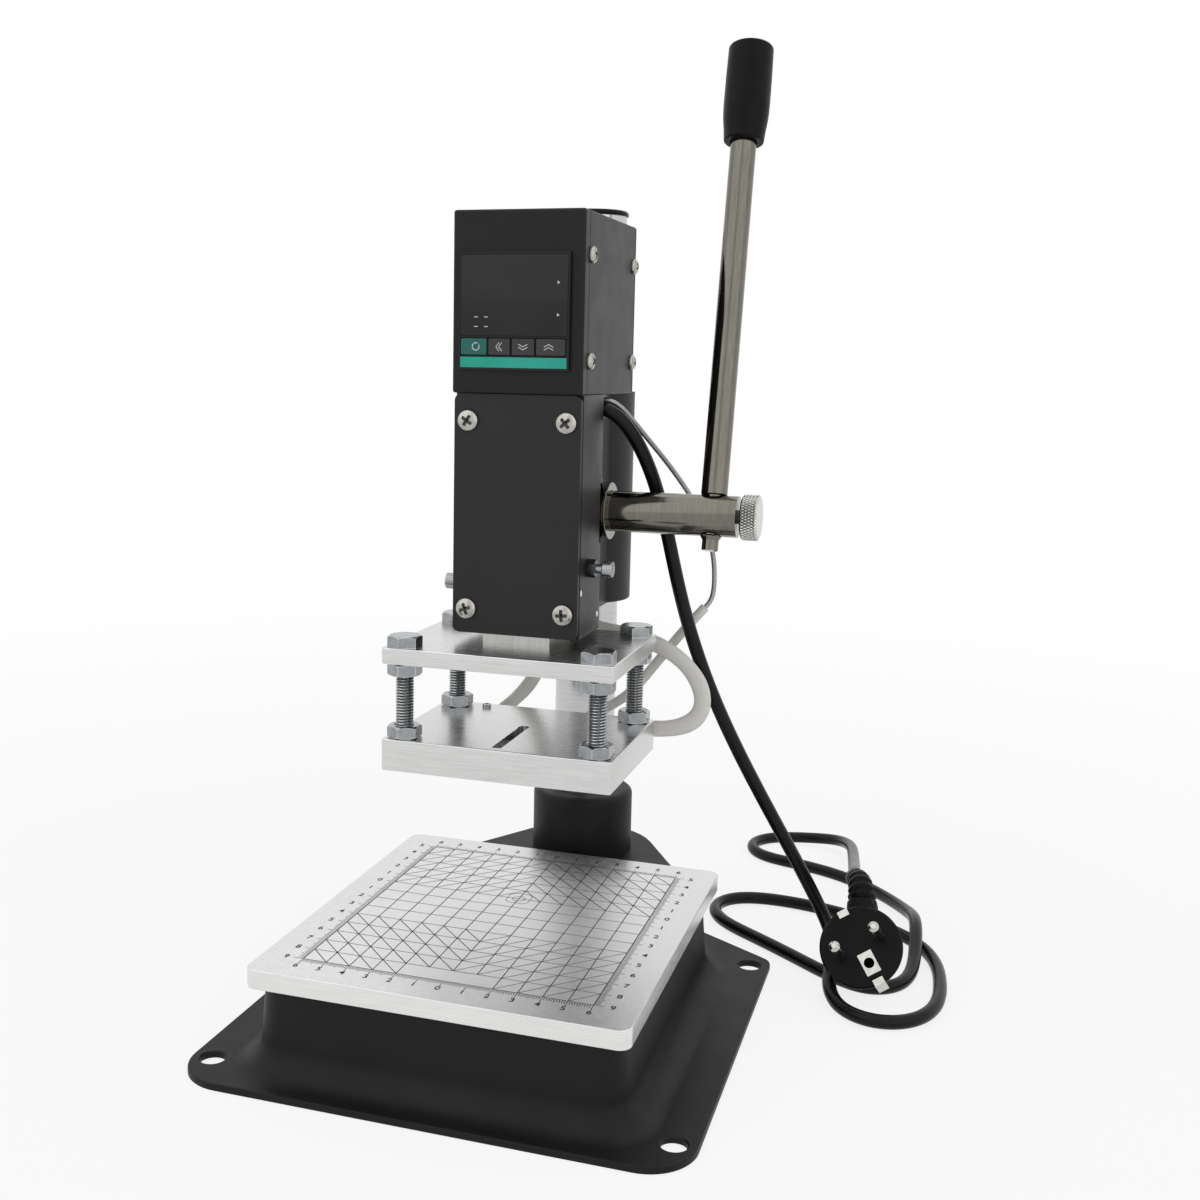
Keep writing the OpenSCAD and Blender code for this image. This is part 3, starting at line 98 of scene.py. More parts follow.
# Materials
class Look:
    """Node helpers for a new material on a Principled shader, or for the owner of another tree."""

    def __init__(self, owner=None, **shader):
        self.material = owner or bpy.data.materials.new("look")
        self.material.use_nodes = True
        self.tree = self.material.node_tree
        self.shader = self.tree.nodes.get("Principled BSDF")
        self.set(**shader)

    def node(self, kind, inputs=None, **settings):
        made = self.tree.nodes.new("ShaderNode" + kind)
        for key, value in settings.items():
            setattr(made, key, value)
        for key, value in (inputs or {}).items():
            self.put(made.inputs[key], value)
        return made

    def put(self, socket, value):
        if isinstance(value, bpy.types.NodeSocket):
            self.tree.links.new(value, socket)
        else:
            socket.default_value = value

    def place(self, stretch=(1, 1, 1), source="Object"):
        coords = self.node("TexCoord").outputs[source]
        return self.node("Mapping", {"Vector": coords, "Scale": stretch}).outputs["Vector"]

    def noise(self, scale, detail=3.0, stretch=(1, 1, 1)):
        inputs = {"Vector": self.place(stretch), "Scale": scale, "Detail": detail}
        return self.node("TexNoise", inputs).outputs["Fac"]

    def spread(self, value, low, high, start=0.3, end=0.7):
        inputs = {"Value": value, "From Min": start, "From Max": end, "To Min": low, "To Max": high}
        return self.node("MapRange", inputs).outputs["Result"]

    def math(self, operation, a, b=0.0):
        return self.node("Math", {0: a, 1: b}, operation=operation).outputs["Value"]

    def colours(self, factor, *stops):
        """Colour ramp over factor between two stops of a place and a grey or colour."""
        made = self.node("ValToRGB", {"Fac": factor})
        for element, (place, colour) in zip(made.color_ramp.elements, stops):
            element.position = place
            element.color = rgba(colour)
        return made.outputs["Color"]

    def faded(self, base, grey, factor):
        """Base colour going over to a grey by factor."""
        return self.node("Mix", {0: factor, 6: base, 7: rgba(grey)}, data_type="RGBA").outputs[2]

    def mixed(self, a, b, share):
        """A share of one value and the rest of another."""
        return self.math("ADD", self.math("MULTIPLY", a, share), self.math("MULTIPLY", b, 1 - share))

    def tint(self, dark, light, scale, detail, half=0.15):
        """Cloudy colour, from dark to light over the noise values within half of the middle."""
        return self.colours(self.noise(scale, detail), (0.5 - half, dark), (0.5 + half, light))

    def sheen(self, rough, half, scale, detail):
        """Cloudy roughness within half of rough."""
        return self.spread(self.noise(scale, detail), rough - half, rough + half)

    def edges(self, radius, edge_cosine=0.86, face_cosine=0.995):
        """1 along edges and 0 on the faces between them."""
        rounded = self.node("Bevel", {"Radius": radius * MM}, samples=4).outputs["Normal"]
        flat = self.node("NewGeometry").outputs["Normal"]
        same = self.node("VectorMath", {0: rounded, 1: flat}, operation="DOT_PRODUCT").outputs["Value"]
        return self.spread(same, 1.0, 0.0, edge_cosine, face_cosine)

    def bump(self, height, strength, distance):
        inputs = {"Height": height, "Strength": strength, "Distance": distance * MM}
        self.put(self.shader.inputs["Normal"], self.node("Bump", inputs).outputs["Normal"])

    def set(self, **sockets):
        for key, value in sockets.items():
            self.put(self.shader.inputs[key.replace("_", " ")], value)
        return self.material


def rgba(colour):
    if isinstance(colour, (int, float)):
        colour = (colour,) * 3
    return (*colour, 1.0)


def painted(dark, light, rough, gloss, grain=1500, depth=0.1, edge_wear_and_highlight=0.03):
    """Black paint on metal: even colour, fine grain, and lighter patchy edges that are partly wear and partly
    painted highlight.
    """
    look = Look(Specular_IOR_Level=gloss)
    base = look.tint(dark, light, scale=22, detail=3.0, half=0.2)
    patchy = look.spread(look.noise(scale=260), 0.0, 0.5, start=0.35, end=0.65)
    # Edges lifted in patches: partly wear, partly painted highlight.
    edge = look.math("MULTIPLY", look.edges(radius=0.6), patchy)
    look.bump(look.noise(grain, detail=2.0), depth, distance=0.08)
    return look.set(
        Base_Color=look.faded(base, edge_wear_and_highlight + max(light), edge),
        Roughness=look.sheen(rough, half=0.03, scale=70, detail=4.0),
    )


def metal(low, high, rough, grain=(1, 1, 1), scale=900, spread=0.05, bump=0.05, edge=0.0):
    """Bare metal: fine lines along the least stretched axis, slightly clouded tone and roughness, and with
    edge a painted highlight along the edges.
    """
    look = Look(Metallic=1.0)
    lines = look.noise(scale, stretch=grain)
    tone = look.mixed(lines, look.noise(scale=28, detail=4.0), share=0.7)
    base = look.colours(tone, (0.36, low), (0.64, high))
    # Painted highlight: the edges are blended towards a light grey.
    if edge:
        base = look.faded(base, 0.9, look.math("MULTIPLY", look.edges(radius=0.5), edge))
    look.bump(lines, bump, distance=0.06)
    roughness = look.spread(tone, rough - spread, rough + spread, start=0.35, end=0.65)
    return look.set(Base_Color=base, Roughness=roughness)


def plastic(dark, light, rough, grain=1100, depth=0.08, gloss=0.25):
    """Moulded plastic or rubber: even colour with a fine moulded grain."""
    look = Look(Specular_IOR_Level=gloss)
    look.bump(look.noise(grain, detail=2.0), depth, distance=0.08)
    return look.set(
        Base_Color=look.tint(dark, light, scale=60, detail=4.0),
        Roughness=look.sheen(rough, half=0.04, scale=140, detail=4.0),
    )


def display_glass(dark, light):
    """Dark window of the controller, with faint smears on its gloss."""
    look = Look(Coat_Weight=0.3, Coat_Roughness=0.05, Specular_IOR_Level=0.15)
    return look.set(
        Base_Color=look.tint(dark, light, scale=45, detail=3.0, half=0.2),
        Roughness=look.sheen(0.15, half=0.05, scale=55, detail=6.0),
    )


def woven(dark, light, rough, threads, shine=0.0):
    """Braid on a tube: two sets of slanting threads in the tube's own coordinates."""
    look = Look(Metallic=shine)
    place = look.node("SeparateXYZ", {"Vector": look.place((*threads, 1), "UV")}).outputs
    waves = []
    for side in (1, -1):
        slant = look.math("ADD", place["X"], look.math("MULTIPLY", place["Y"], side))
        waves.append(look.math("SINE", look.math("MULTIPLY", slant, 2 * math.pi)))
    weave = look.spread(look.math("MULTIPLY", *waves), 0.0, 1.0, start=-1.0, end=1.0)
    stain = look.noise(scale=120, detail=4.0)
    tone = look.mixed(weave, stain, share=0.7)
    look.bump(weave, strength=0.5, distance=0.12)
    return look.set(
        Base_Color=look.colours(tone, (0.25, dark), (0.7, light)),
        Roughness=look.spread(stain, rough - 0.06, rough + 0.06),
    )


def ink(dark, light):
    """Printed ink, a little uneven."""
    look = Look(Specular_IOR_Level=0.15)
    return look.set(
        Base_Color=look.tint(dark, light, scale=300, detail=4.0),
        Roughness=look.sheen(0.55, half=0.1, scale=700, detail=3.0),
    )


LOOKS = {
    "black_enamel": painted((0.0065, 0.0065, 0.007), (0.0085, 0.0085, 0.009), rough=0.48, gloss=0.2),
    "box_paint": painted(
        (0.0065, 0.006, 0.0068), (0.008, 0.0074, 0.0083), rough=0.42, gloss=0.24, grain=2200, depth=0.12
    ),
    "head_paint": painted((0.0085, 0.008, 0.0085), (0.0105, 0.0098, 0.0105), rough=0.44, gloss=0.34),
    "ruled_aluminium": metal((0.68, 0.67, 0.672), (0.76, 0.75, 0.752), rough=0.33, scale=700),
    "bed_edge": metal(
        (0.74, 0.735, 0.725), (0.82, 0.815, 0.805), rough=0.3,
        grain=(0.04, 0.04, 1), scale=1500, spread=0.04, bump=0.03,
    ),
    # edge=1.0 paints a highlight along the plates' edges.
    "plate_aluminium": metal(
        (0.6, 0.595, 0.59), (0.7, 0.695, 0.69), rough=0.27,
        grain=(0.04, 1, 1), scale=2000, spread=0.04, bump=0.04, edge=1.0,
    ),
    "column_steel": metal((0.48, 0.48, 0.49), (0.58, 0.58, 0.59), rough=0.2, grain=(0.3, 0.3, 6), scale=300),
    "black_steel": metal((0.03, 0.03, 0.033), (0.06, 0.06, 0.063), rough=0.38, scale=500),
    # edge=0.7 paints a highlight along the edges.
    "zinc_steel": metal(
        (0.25, 0.265, 0.275), (0.36, 0.375, 0.385), rough=0.18, scale=260, bump=0.03, edge=0.7
    ),
    "gib_brass": metal((0.45, 0.33, 0.14), (0.55, 0.42, 0.2), rough=0.35),
    "turned_steel": metal(
        (0.145, 0.14, 0.117), (0.185, 0.178, 0.15), rough=0.1,
        grain=(6, 0.4, 0.4), scale=300, spread=0.02, bump=0.008,
    ),
    "ram_steel": metal((0.42, 0.43, 0.415), (0.54, 0.55, 0.53), rough=0.3, grain=(1, 1, 0.05), scale=800),
    "heater_steel": metal((0.35, 0.33, 0.3), (0.45, 0.43, 0.4), rough=0.35),
    "nickel_brass": metal((0.46, 0.45, 0.42), (0.58, 0.57, 0.54), rough=0.2, scale=300),
    "screw_nickel": metal((0.36, 0.35, 0.32), (0.48, 0.47, 0.43), rough=0.2, scale=260),
    # Painted shade for the screws' recess inserts, the knurl's grooves and the knob's stem; also the lock
    # nut's own dark colour.
    "dark_steel_and_painted_shade": metal((0.05, 0.052, 0.054), (0.09, 0.092, 0.095), rough=0.3, scale=400),
    # Painted shade on the roots of the bolts' threads.
    "painted_shade_root_steel": metal((0.1, 0.105, 0.108), (0.16, 0.166, 0.17), rough=0.3, scale=400),
    "knob_steel": metal((0.5, 0.49, 0.46), (0.62, 0.61, 0.57), rough=0.22, scale=400),
    "bright_steel": metal((0.72, 0.71, 0.7), (0.85, 0.84, 0.83), rough=0.25, scale=400),
    "controller_plastic": plastic((0.007, 0.007, 0.0075), (0.01, 0.01, 0.0105), rough=0.4, grain=1800),
    "key_teal": plastic((0.016, 0.12, 0.1), (0.024, 0.15, 0.125), rough=0.4, grain=1600),
    "key_grey": plastic((0.035, 0.035, 0.037), (0.05, 0.05, 0.052), rough=0.42, grain=1600),
    "strip_teal": plastic((0.02, 0.33, 0.25), (0.03, 0.4, 0.31), rough=0.35, grain=1600),
    "black_plastic": plastic(0.0045, 0.0065, rough=0.4, grain=900, depth=0.06, gloss=0.1),
    "cord_rubber": plastic(0.0045, 0.007, rough=0.28, grain=700, depth=0.06, gloss=0.18),
    "terminal_plastic": plastic((0.62, 0.61, 0.57), (0.74, 0.73, 0.69), rough=0.5),
    "display_gloss": display_glass((0.006, 0.006, 0.007), (0.012, 0.012, 0.013)),
    "segment_dark": display_glass(0.009, 0.014),
    "steel_braid": woven(0.12, 0.5, rough=0.35, threads=(8, 1.2), shine=1.0),
    "glass_sleeve": woven((0.66, 0.645, 0.6), (0.84, 0.83, 0.79), rough=0.65, threads=(24, 1.6)),
    "ink_dark": ink((0.01, 0.01, 0.011), (0.018, 0.018, 0.02)),
    "ink_grey": ink(0.13, 0.19),
    "ink_white": ink((0.55, 0.57, 0.57), (0.68, 0.7, 0.7)),
}
for name, material in LOOKS.items():
    material.name = name


# Forms are pairs of a vertex array and a list of faces
def joined(forms):
    points, faces, count = [], [], 0
    for v, f in forms:
        points.append(np.asarray(v, float))
        faces += [tuple(i + count for i in face) for face in f]
        count += len(v)
    return np.vstack(points), faces


def moved(form, matrix):
    v = np.asarray(form[0], float)
    m = np.array(matrix, float)
    return v @ m[:3, :3].T + m[:3, 3], form[1]


def at(x, y, z):
    return Matrix.Translation((x, y, z))


def turned(axis, degrees):
    return Matrix.Rotation(math.radians(degrees), 4, axis)


def ring_form(rings, closed=False):
    """Skin over rings of equal counts. A ring of one point is a pole, and closed joins the ends."""
    rings = [np.asarray(r, float).reshape(-1, 3) for r in rings]
    start = [0, *np.cumsum([len(r) for r in rings]).tolist()]
    faces = []
    for a in range(len(rings) if closed else len(rings) - 1):
        b = (a + 1) % len(rings)
        m, n = len(rings[a]), len(rings[b])
        for i in range(max(m, n)):
            j = (i + 1) % max(m, n)
            corners = (start[a] + i % m, start[a] + j % m, start[b] + j % n, start[b] + i % n)
            faces.append(tuple(dict.fromkeys(corners)))
    return np.vstack(rings), faces


def level(outline, z):
    """Points of an outline in X and Y at a height, or at one height for each point."""
    return np.column_stack([outline, np.broadcast_to(z, len(outline))])


def circle(sides):
    """Angles round a circle, and the unit points at them."""
    angle = np.linspace(0, 2 * math.pi, sides, endpoint=False)
    return angle, np.column_stack([np.cos(angle), np.sin(angle)])


def lathe(profile, sides):
    """Solid of revolution about Z from (radius, height) points. Points on the axis are poles."""
    unit = circle(sides)[1]
    rings = [level(r * unit, z) if r else [[0, 0, z]] for r, z in profile]
    return ring_form(rings, closed=profile[0][0] > 0)


def rod(r, z0, z1, sides=24):
    return lathe([(0, z0), (r, z0), (r, z1), (0, z1)], sides)


def arc(centre, radius, start, end, steps):
    a = np.radians(np.linspace(start, end, steps + 1))
    return np.column_stack([centre[0] + radius * np.cos(a), centre[1] + radius * np.sin(a)])


def rounded_outline(w, d, r, steps=8):
    """Rectangle about the origin with rounded corners."""
    x, y = w / 2 - r, d / 2 - r
    corners = ((x, y), (-x, y), (-x, -y), (x, -y))
    return np.vstack([arc(c, r, 90 * i, 90 * i + 90, steps) for i, c in enumerate(corners)])


def cap_rings(rings):
    """Closes a stack of rings with a flat n-gon at each end."""
    v, f = ring_form(rings)
    n = len(rings[0])
    last = len(v) - n
    return v, [*f, tuple(range(n - 1, -1, -1)), tuple(range(last, last + n))]


LEAST_CORNER = 0.2


def slab(w, d, r, z0, z1, edge):
    """Plate with rounded corners and softened edges, about the origin in X and Y."""
    step = edge * 0.3
    levels = [(z0, edge), (z0 + step, step), (z0 + edge, 0), (z1 - edge, 0), (z1 - step, step), (z1, edge)]
    rings = []
    for z, inset in levels:
        outline = rounded_outline(w - 2 * inset, d - 2 * inset, max(r - inset, LEAST_CORNER))
        rings.append(level(outline, z))
    return cap_rings(rings)


INK_H = 0.04


def bar(a, b, width, height=INK_H):
    """Thin straight box on the level plane between two points."""
    a, b = np.array(a, float), np.array(b, float)
    along = (b - a) / np.linalg.norm(b - a)
    side = np.array([-along[1], along[0]]) * width / 2
    flat = [a - side, b - side, b + side, a + side]
    return cap_rings([level(flat, z) for z in (0, height)])


HEX_TURNED, HEX_SLOPE, HEX_LIP = 0.97, 30, 0.5


def hexagon(flats, height, bore=0.0, sides=72):
    """Hexagon prism on z = 0 with turned corners above. With a bore it is a nut, turned below as well."""
    a, unit = circle(sides)
    r = flats / 2 / np.cos((a + math.pi / 6) % (math.pi / 3) - math.pi / 6)
    turn = flats / 2 * HEX_TURNED
    drop = np.maximum(r - turn, 0) * math.tan(math.radians(HEX_SLOPE))
    wall = r[:, None] * unit
    rings = [level(wall, drop if bore else 0), level(wall, height - drop), level(turn * unit, height)]
    if not bore:
        return ring_form([[[0, 0, 0]], *rings, [[0, 0, height]]])
    hole = bore / 2
    lip = hole + HEX_LIP
    inside = ((lip, height), (hole, height - HEX_LIP), (hole, HEX_LIP), (lip, 0))
    rings = [level(turn * unit, 0), *rings, *(level(radius * unit, z) for radius, z in inside)]
    return ring_form(rings, closed=True)


def thread(d, pitch, z0, z1, depth, sides=28, steps=6):
    """Rod with a screw thread between two heights."""
    a, unit = circle(sides)
    rings = [[[0, 0, z0]]]
    for z in np.arange(z0, z1, pitch / steps):
        phase = (z / pitch - a / (2 * math.pi)) % 1
        r = d / 2 - depth * np.abs(2 * phase - 1)
        rings.append(level(r[:, None] * unit, z))
    rings.append([[0, 0, z1]])
    return ring_form(rings)


def spline(points, count):
    """Points along the uniform cubic B-spline that the CAD tubes follow."""
    p = np.array(points, float)
    q = np.vstack([2 * p[0] - p[1], p, 2 * p[-1] - p[-2]])
    u = np.linspace(0, len(p) - 1, count)
    i = np.minimum(u.astype(int), len(p) - 2)
    t = (u - i)[:, None]
    shares = ((1 - t) ** 3, 3 * t**3 - 6 * t**2 + 4, -3 * t**3 + 3 * t**2 + 3 * t + 1, t**3)
    return sum(share * q[i + k] for k, share in enumerate(shares)) / 6


def tube(path, wide, flat, sides):
    """Closed tube along a path, with a radius along the path for each of its two directions."""
    wide, flat = (np.broadcast_to(r, len(path)) for r in (wide, flat))
    t = np.gradient(path, axis=0)
    t /= np.linalg.norm(t, axis=1)[:, None]
    v = np.cross(t[0], (0, 0, 1) if abs(t[0][2]) < 0.9 else (1, 0, 0))
    unit = circle(sides)[1]
    rings = []
    for p, d, a, b in zip(path, t, wide, flat):
        v = v - (v @ d) * d
        v /= np.linalg.norm(v)
        w = np.cross(d, v)
        rings.append(p + b * unit[:, :1] * v + a * unit[:, 1:] * w)
    return ring_form([path[:1], *rings, path[-1:]])


# Objects
SHARP_ANGLE = 32


def mesh_object(name, form):
    """New mesh object from a form, with its faces turned outwards."""
    v, f = form
    mesh = bpy.data.meshes.new(name)
    mesh.from_pydata([tuple(p) for p in np.asarray(v) * MM], [], f)
    mesh.validate()
    bm = bmesh.new()
    bm.from_mesh(mesh)
    bmesh.ops.recalc_face_normals(bm, faces=bm.faces)
    bm.to_mesh(mesh)
    bm.free()
    return linked(name, mesh)


def shown_mesh(made):
    """Mesh of an object as it shows, with its modifiers."""
    return bpy.data.meshes.new_from_object(made.evaluated_get(bpy.context.evaluated_depsgraph_get()))


def form_of(mesh, unit):
    """Form of a mesh whose coordinates are in the given unit."""
    points = np.array([v.co for v in mesh.vertices]) / unit
    return points, [tuple(p.vertices) for p in mesh.polygons]


def cut(made, tools, operation="DIFFERENCE"):
    """Boolean of a mesh object with forms, applied to its mesh."""
    for form in tools:
        tool = mesh_object("tool", form)
        step = made.modifiers.new("cut", "BOOLEAN")
        step.operation, step.object, step.solver = operation, tool, "EXACT"
        done = shown_mesh(made)
        made.modifiers.clear()
        made.data = done
        bpy.data.objects.remove(tool)


def shade(made, look, angle):
    made.data.materials.clear()
    made.data.materials.append(look)
    made.data.shade_smooth()
    made.data.set_sharp_from_angle(angle=math.radians(angle))


def dress(made, node=None, body=None, look=None, angle=SHARP_ANGLE, weighted=False):
    """Gives a piece its shading and the material of its node's slot, hangs it on its body and hides the node
    it stands for.
    """
    slot = SLOT_OF.get(node)
    shade(made, LOOKS[look or slot], angle)
    if weighted:
        made.modifiers.new("normals", "WEIGHTED_NORMAL").keep_sharp = True
    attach(made, body or BODY_OF[node])
    if node:
        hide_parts(node)


def piece(name, form, node=None, **settings):
    made = mesh_object(name, form)
    dress(made, node, **settings)
    return made


def paint_faces(made, look, test):
    """Second material on the faces whose normal and middle, in millimetres, pass a test."""
    made.data.materials.append(LOOKS[look])
    for polygon in made.data.polygons:
        polygon.material_index = int(test(polygon.normal, np.array(polygon.center) / MM))


def extent(node):
    lo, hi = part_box(node)
    return np.array(lo) / MM, np.array(hi) / MM


def node_slab(node, r, edge):
    """Slab in the place of a CAD plate."""
    lo, hi = extent(node)
    x, y = (lo[:2] + hi[:2]) / 2
    return moved(slab(hi[0] - lo[0], hi[1] - lo[1], r, lo[2], hi[2], edge), at(x, y, 0))


def welded(node):
    """Editable copy of a CAD node's mesh with its doubled points joined."""
    bm = bmesh.new()
    bm.from_mesh(frame["nodes"][node].data)
    bmesh.ops.remove_doubles(bm, verts=bm.verts, dist=WELD)
    return bm


def solids(node):
    """Lowest corner, highest corner and middle of each separate solid of a CAD node."""
    bm = welded(node)
    left, found = set(bm.verts), []
    while left:
        todo, group = [left.pop()], []
        while todo:
            v = todo.pop()
            group.append(v.co[:])
            near = [e.other_vert(v) for e in v.link_edges]
            fresh = [n for n in near if n in left]
            left.difference_update(fresh)
            todo += fresh
        co = np.array(group) / MM
        found.append((co.min(0), co.max(0), (co.min(0) + co.max(0)) / 2))
    bm.free()
    return sorted(found, key=lambda c: tuple(np.round(c[0], 3)))


SHEET_NODES = ("box_front", "box_shell", "box_back")
PLANE_NEAR = 1e-5
EDGE_ANGLE, FLAT_ANGLE, EDGE_STEPS = 30, 0.6, 3


def on_two_planes(edge, lo, hi):
    """True for an edge along two sides of the box from lo to hi."""
    ends = np.array([v.co for v in edge.verts])
    low = (np.abs(ends - lo) < PLANE_NEAR).all(0)
    high = (np.abs(ends - hi) < PLANE_NEAR).all(0)
    return (low | high).sum() >= 2


def softened(node, width):
    """Copy of a CAD node with its sharp edges rounded. Sheet metal is rounded on its outer edges only."""
    bm = welded(node)
    flat, least = math.radians(FLAT_ANGLE), math.radians(EDGE_ANGLE)
    bmesh.ops.dissolve_limit(bm, angle_limit=flat, verts=bm.verts, edges=bm.edges)
    sharp = [e for e in bm.edges if len(e.link_faces) == 2 and e.calc_face_angle(0) > least]
    if node in SHEET_NODES:
        lo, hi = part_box(node)
        sharp = [e for e in sharp if on_two_planes(e, np.array(lo), np.array(hi))]
    bmesh.ops.bevel(
        bm, geom=sharp, offset=width * MM, offset_type="OFFSET", segments=EDGE_STEPS, profile=0.5,
        affect="EDGES", clamp_overlap=True,
    )
    mesh = bpy.data.meshes.new(node + "_look")
    bm.to_mesh(mesh)
    bm.free()
    return linked(node + "_look", mesh)


# Mains lead and the leads to the heated plate
CORD_POINTS = [
    (9, 48.6, 262.4), (19, 48.6, 262.4), (29, 48.6, 262.4), (38, 53.5, 253), (46, 64, 232),
    (52, 68.5, 206), (59.5, 71.5, 170), (73, 78, 130), (91, 90, 90), (109, 102, 54),
    (122, 108, 28), (131, 101, 14), (132, 83, 10.8), (132, 66, 6.5), (138, 49, 3.2),
    (155, 40, 3.2), (172, 47, 3.2), (181, 66, 3.2), (181, 92, 3.2), (178, 117, 3.2),
    (167, 138, 3.2), (148, 153, 3.2), (122, 164, 3.2), (94, 169, 3.2), (72, 165, 3.2),
    (63, 147, 3.2), (72, 129, 3.2), (90, 116, 3.2), (112, 99, 3.2), (132, 82, 3.2),
    (149, 73, 3.2), (163, 81, 3.2), (168, 98, 3.2), (168, 118, 7), (167, 140, 13.4),
    (163, 165, 6.5), (149, 193, 3.2), (126, 216, 3.2), (98, 227, 3.2), (75, 232, 3.2),
    (65, 250, 3.2), (75, 268, 3.2), (96, 272, 4), (116, 268, 6.5), (125, 250, 10),
    (128, 226, 14), (131, 195, 20), (134, 162, 28), (137, 130, 36),
]
CORD_STEPS, CORD_ROUND = 700, 6
CORD_D, LEAD_D, PROBE_SLEEVE_D, BRAID_D = 6.2, 6.0, 4.5, 2.3
plate_lo, plate_hi = extent("heating_plate")
head_lo, head_hi = extent("head_housing")
HEATER_X = 27.7
HEATER_Z = (plate_lo[2] + plate_hi[2]) / 2
PLATE_BACK = plate_hi[1]
PROBE_END = np.array([12, PLATE_BACK + 6, HEATER_Z])
HEAD_Z = head_lo[2]
POCKET_Z = head_hi[2] - 10.4
PASS_FRONT = 70.0
BLOCK_BACK = PASS_FRONT - 4
LEAD_TOP = (-7.0, 5.0)
LEAD_END_Z = POCKET_Z + 4.6
SLEEVE_START = PROBE_END + (53.6, 25.25, 54.2)
BRAID_OUT = np.array([head_hi[0], 52.6, POCKET_Z + 8])
BLOCK_RIGHT = 9.0


def step_lengths(path):
    return np.linalg.norm(np.diff(path, axis=0), axis=1)


def make_power_cord():
    path = spline(CORD_POINTS, CORD_STEPS)
    data = bpy.data.curves.new("mains_lead", "CURVE")
    data.dimensions = "3D"
    data.bevel_depth = CORD_D / 2 * MM
    data.bevel_resolution = CORD_ROUND
    data.use_fill_caps = True
    line = data.splines.new("POLY")
    line.points.add(len(path) - 1)
    for point, p in zip(line.points, path):
        point.co = (*(p * MM), 1)
    data.materials.append(LOOKS["cord_rubber"])
    made = linked("mains_lead", data)
    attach(made, "frame")
    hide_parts("power_cord")
    return made, path


def lead_paths():
    """Routes of the two heater leads, the probe's sleeve and its braided cable."""
    left, right = (np.array([x, PLATE_BACK, HEATER_Z]) for x in (-HEATER_X, HEATER_X))
    rise = POCKET_Z - HEAD_Z
    y = PASS_FRONT
    x = LEAD_TOP[0]
    left_points = [
        left, left + (0, 7, 0), left + (4, 14, 4), left + (14, 17, 14), left + (20, 19, 30),
        (x + 1, y + 10, HEAD_Z - 6.3), (x, y + 11, HEAD_Z + 18.7), (x, y + 11, HEAD_Z + 0.53 * rise),
        (x, y + 11, POCKET_Z - 13), (x, y + 9, POCKET_Z), (x, y + 4, LEAD_END_Z), (x, BLOCK_BACK, LEAD_END_Z),
    ]
    x = LEAD_TOP[1]
    right_points = [
        right, right + (0, 6, 0), right + (8, 11.5, -0.5), right + (22, 11.5, -1), right + (36, 11, 2),
        right + (43, 11, 10), right + (42, 11, 21), right + (34, 11, 32), right + (20, 11.5, 40),
        (x + 25, y + 4, HEAD_Z - 7.8), (x + 10, y + 9.5, HEAD_Z - 8.8), (x + 1.5, y + 12.5, HEAD_Z + 0.7),
        (x, y + 13, HEAD_Z + 18.7), (x, y + 13, HEAD_Z + 0.5 * rise), (x, y + 12, POCKET_Z - 14),
        (x, y + 9, POCKET_Z), (x, y + 4, LEAD_END_Z), (x, BLOCK_BACK, LEAD_END_Z),
    ]
    lean = np.array([2.8, 2.1, 3.3])
    end, top, out = PROBE_END, SLEEVE_START, BRAID_OUT
    sleeve_points = [
        end, end + (0, 5, 0), end + (6, 9, 3), end + (22, 9, 12), end + (32, 13.75, 26),
        end + (43, 18.75, 41), top - lean, top,
    ]
    inside = out[0] - 6
    cable_points = [
        top, top + 1.2 * lean, top + (3.6, 3.3, 14.7), top + (2.6, 2.7, 25.7), out + (36.8, 37.2, -56),
        out + (30, 30.4, -42), out + (20.8, 20.9, -27), out + (13, 12.4, -16), out + (7, 4.9, -6.5),
        out + (1.5, 0.4, -0.2), (inside, *out[1:]), ((inside + BLOCK_RIGHT) / 2, *out[1:]),
        (BLOCK_RIGHT, *out[1:]),
    ]
    return {
        "heater_lead_left": (left_points, LEAD_D, 200, HEAD_Z - 6),
        "heater_lead_right": (right_points, LEAD_D, 260, HEAD_Z - 6),
        "thermocouple_sleeve": (sleeve_points, PROBE_SLEEVE_D, 140, POCKET_Z - 20),
        "thermocouple_cable": (cable_points, BRAID_D, 240, POCKET_Z - 20),
    }


TUBE_SIDES = 20
PRESSED_FLAT, PRESSED_RUN = 0.3, 0.08


def add_tube_coordinates(made, path):
    """Texture coordinates of a tube: turns round it and millimetres along it."""
    run = np.concatenate([[0], np.cumsum(step_lengths(path))])
    layer = made.data.uv_layers.new(name="tube")
    for polygon in made.data.polygons:
        points = [made.data.loops[i].vertex_index - 1 for i in polygon.loop_indices]
        turns = [(p % TUBE_SIDES) / TUBE_SIDES for p in points]
        wide = max(turns) - min(turns) > 0.5
        for i, p, turn in zip(polygon.loop_indices, points, turns):
            step = min(max(p // TUBE_SIDES, 0), len(path) - 1)
            layer.data[i].uv = (turn + 1 if wide and turn < 0.5 else turn, run[step])


def sleeve_radii(radius, count):
    """Radii of a limp glass sleeve, pressed flat and a little uneven along its length."""
    along = np.linspace(0, 1, count)
    uneven = 0.03 * np.sin(23 * along + 1) + 0.025 * np.sin(57 * along)
    pressed = np.clip(np.minimum(along, 1 - along) / PRESSED_RUN, 0, 1)
    wide = radius * (1 + pressed * (PRESSED_FLAT + uneven))
    return wide, radius * (1 - pressed * (PRESSED_FLAT - uneven))


def make_leads():
    for node, (points, d, count, fixed_z) in lead_paths().items():
        path = spline(points, count)
        wide, flat = sleeve_radii(d / 2, count) if d == LEAD_D else (d / 2, d / 2)
        made = mesh_object(node + "_look", tube(path, wide, flat, TUBE_SIDES))
        add_tube_coordinates(made, path)
        made.data.shade_smooth()
        made.data.materials.append(LOOKS[SLOT_OF[node]])
        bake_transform(made)
        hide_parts(node)


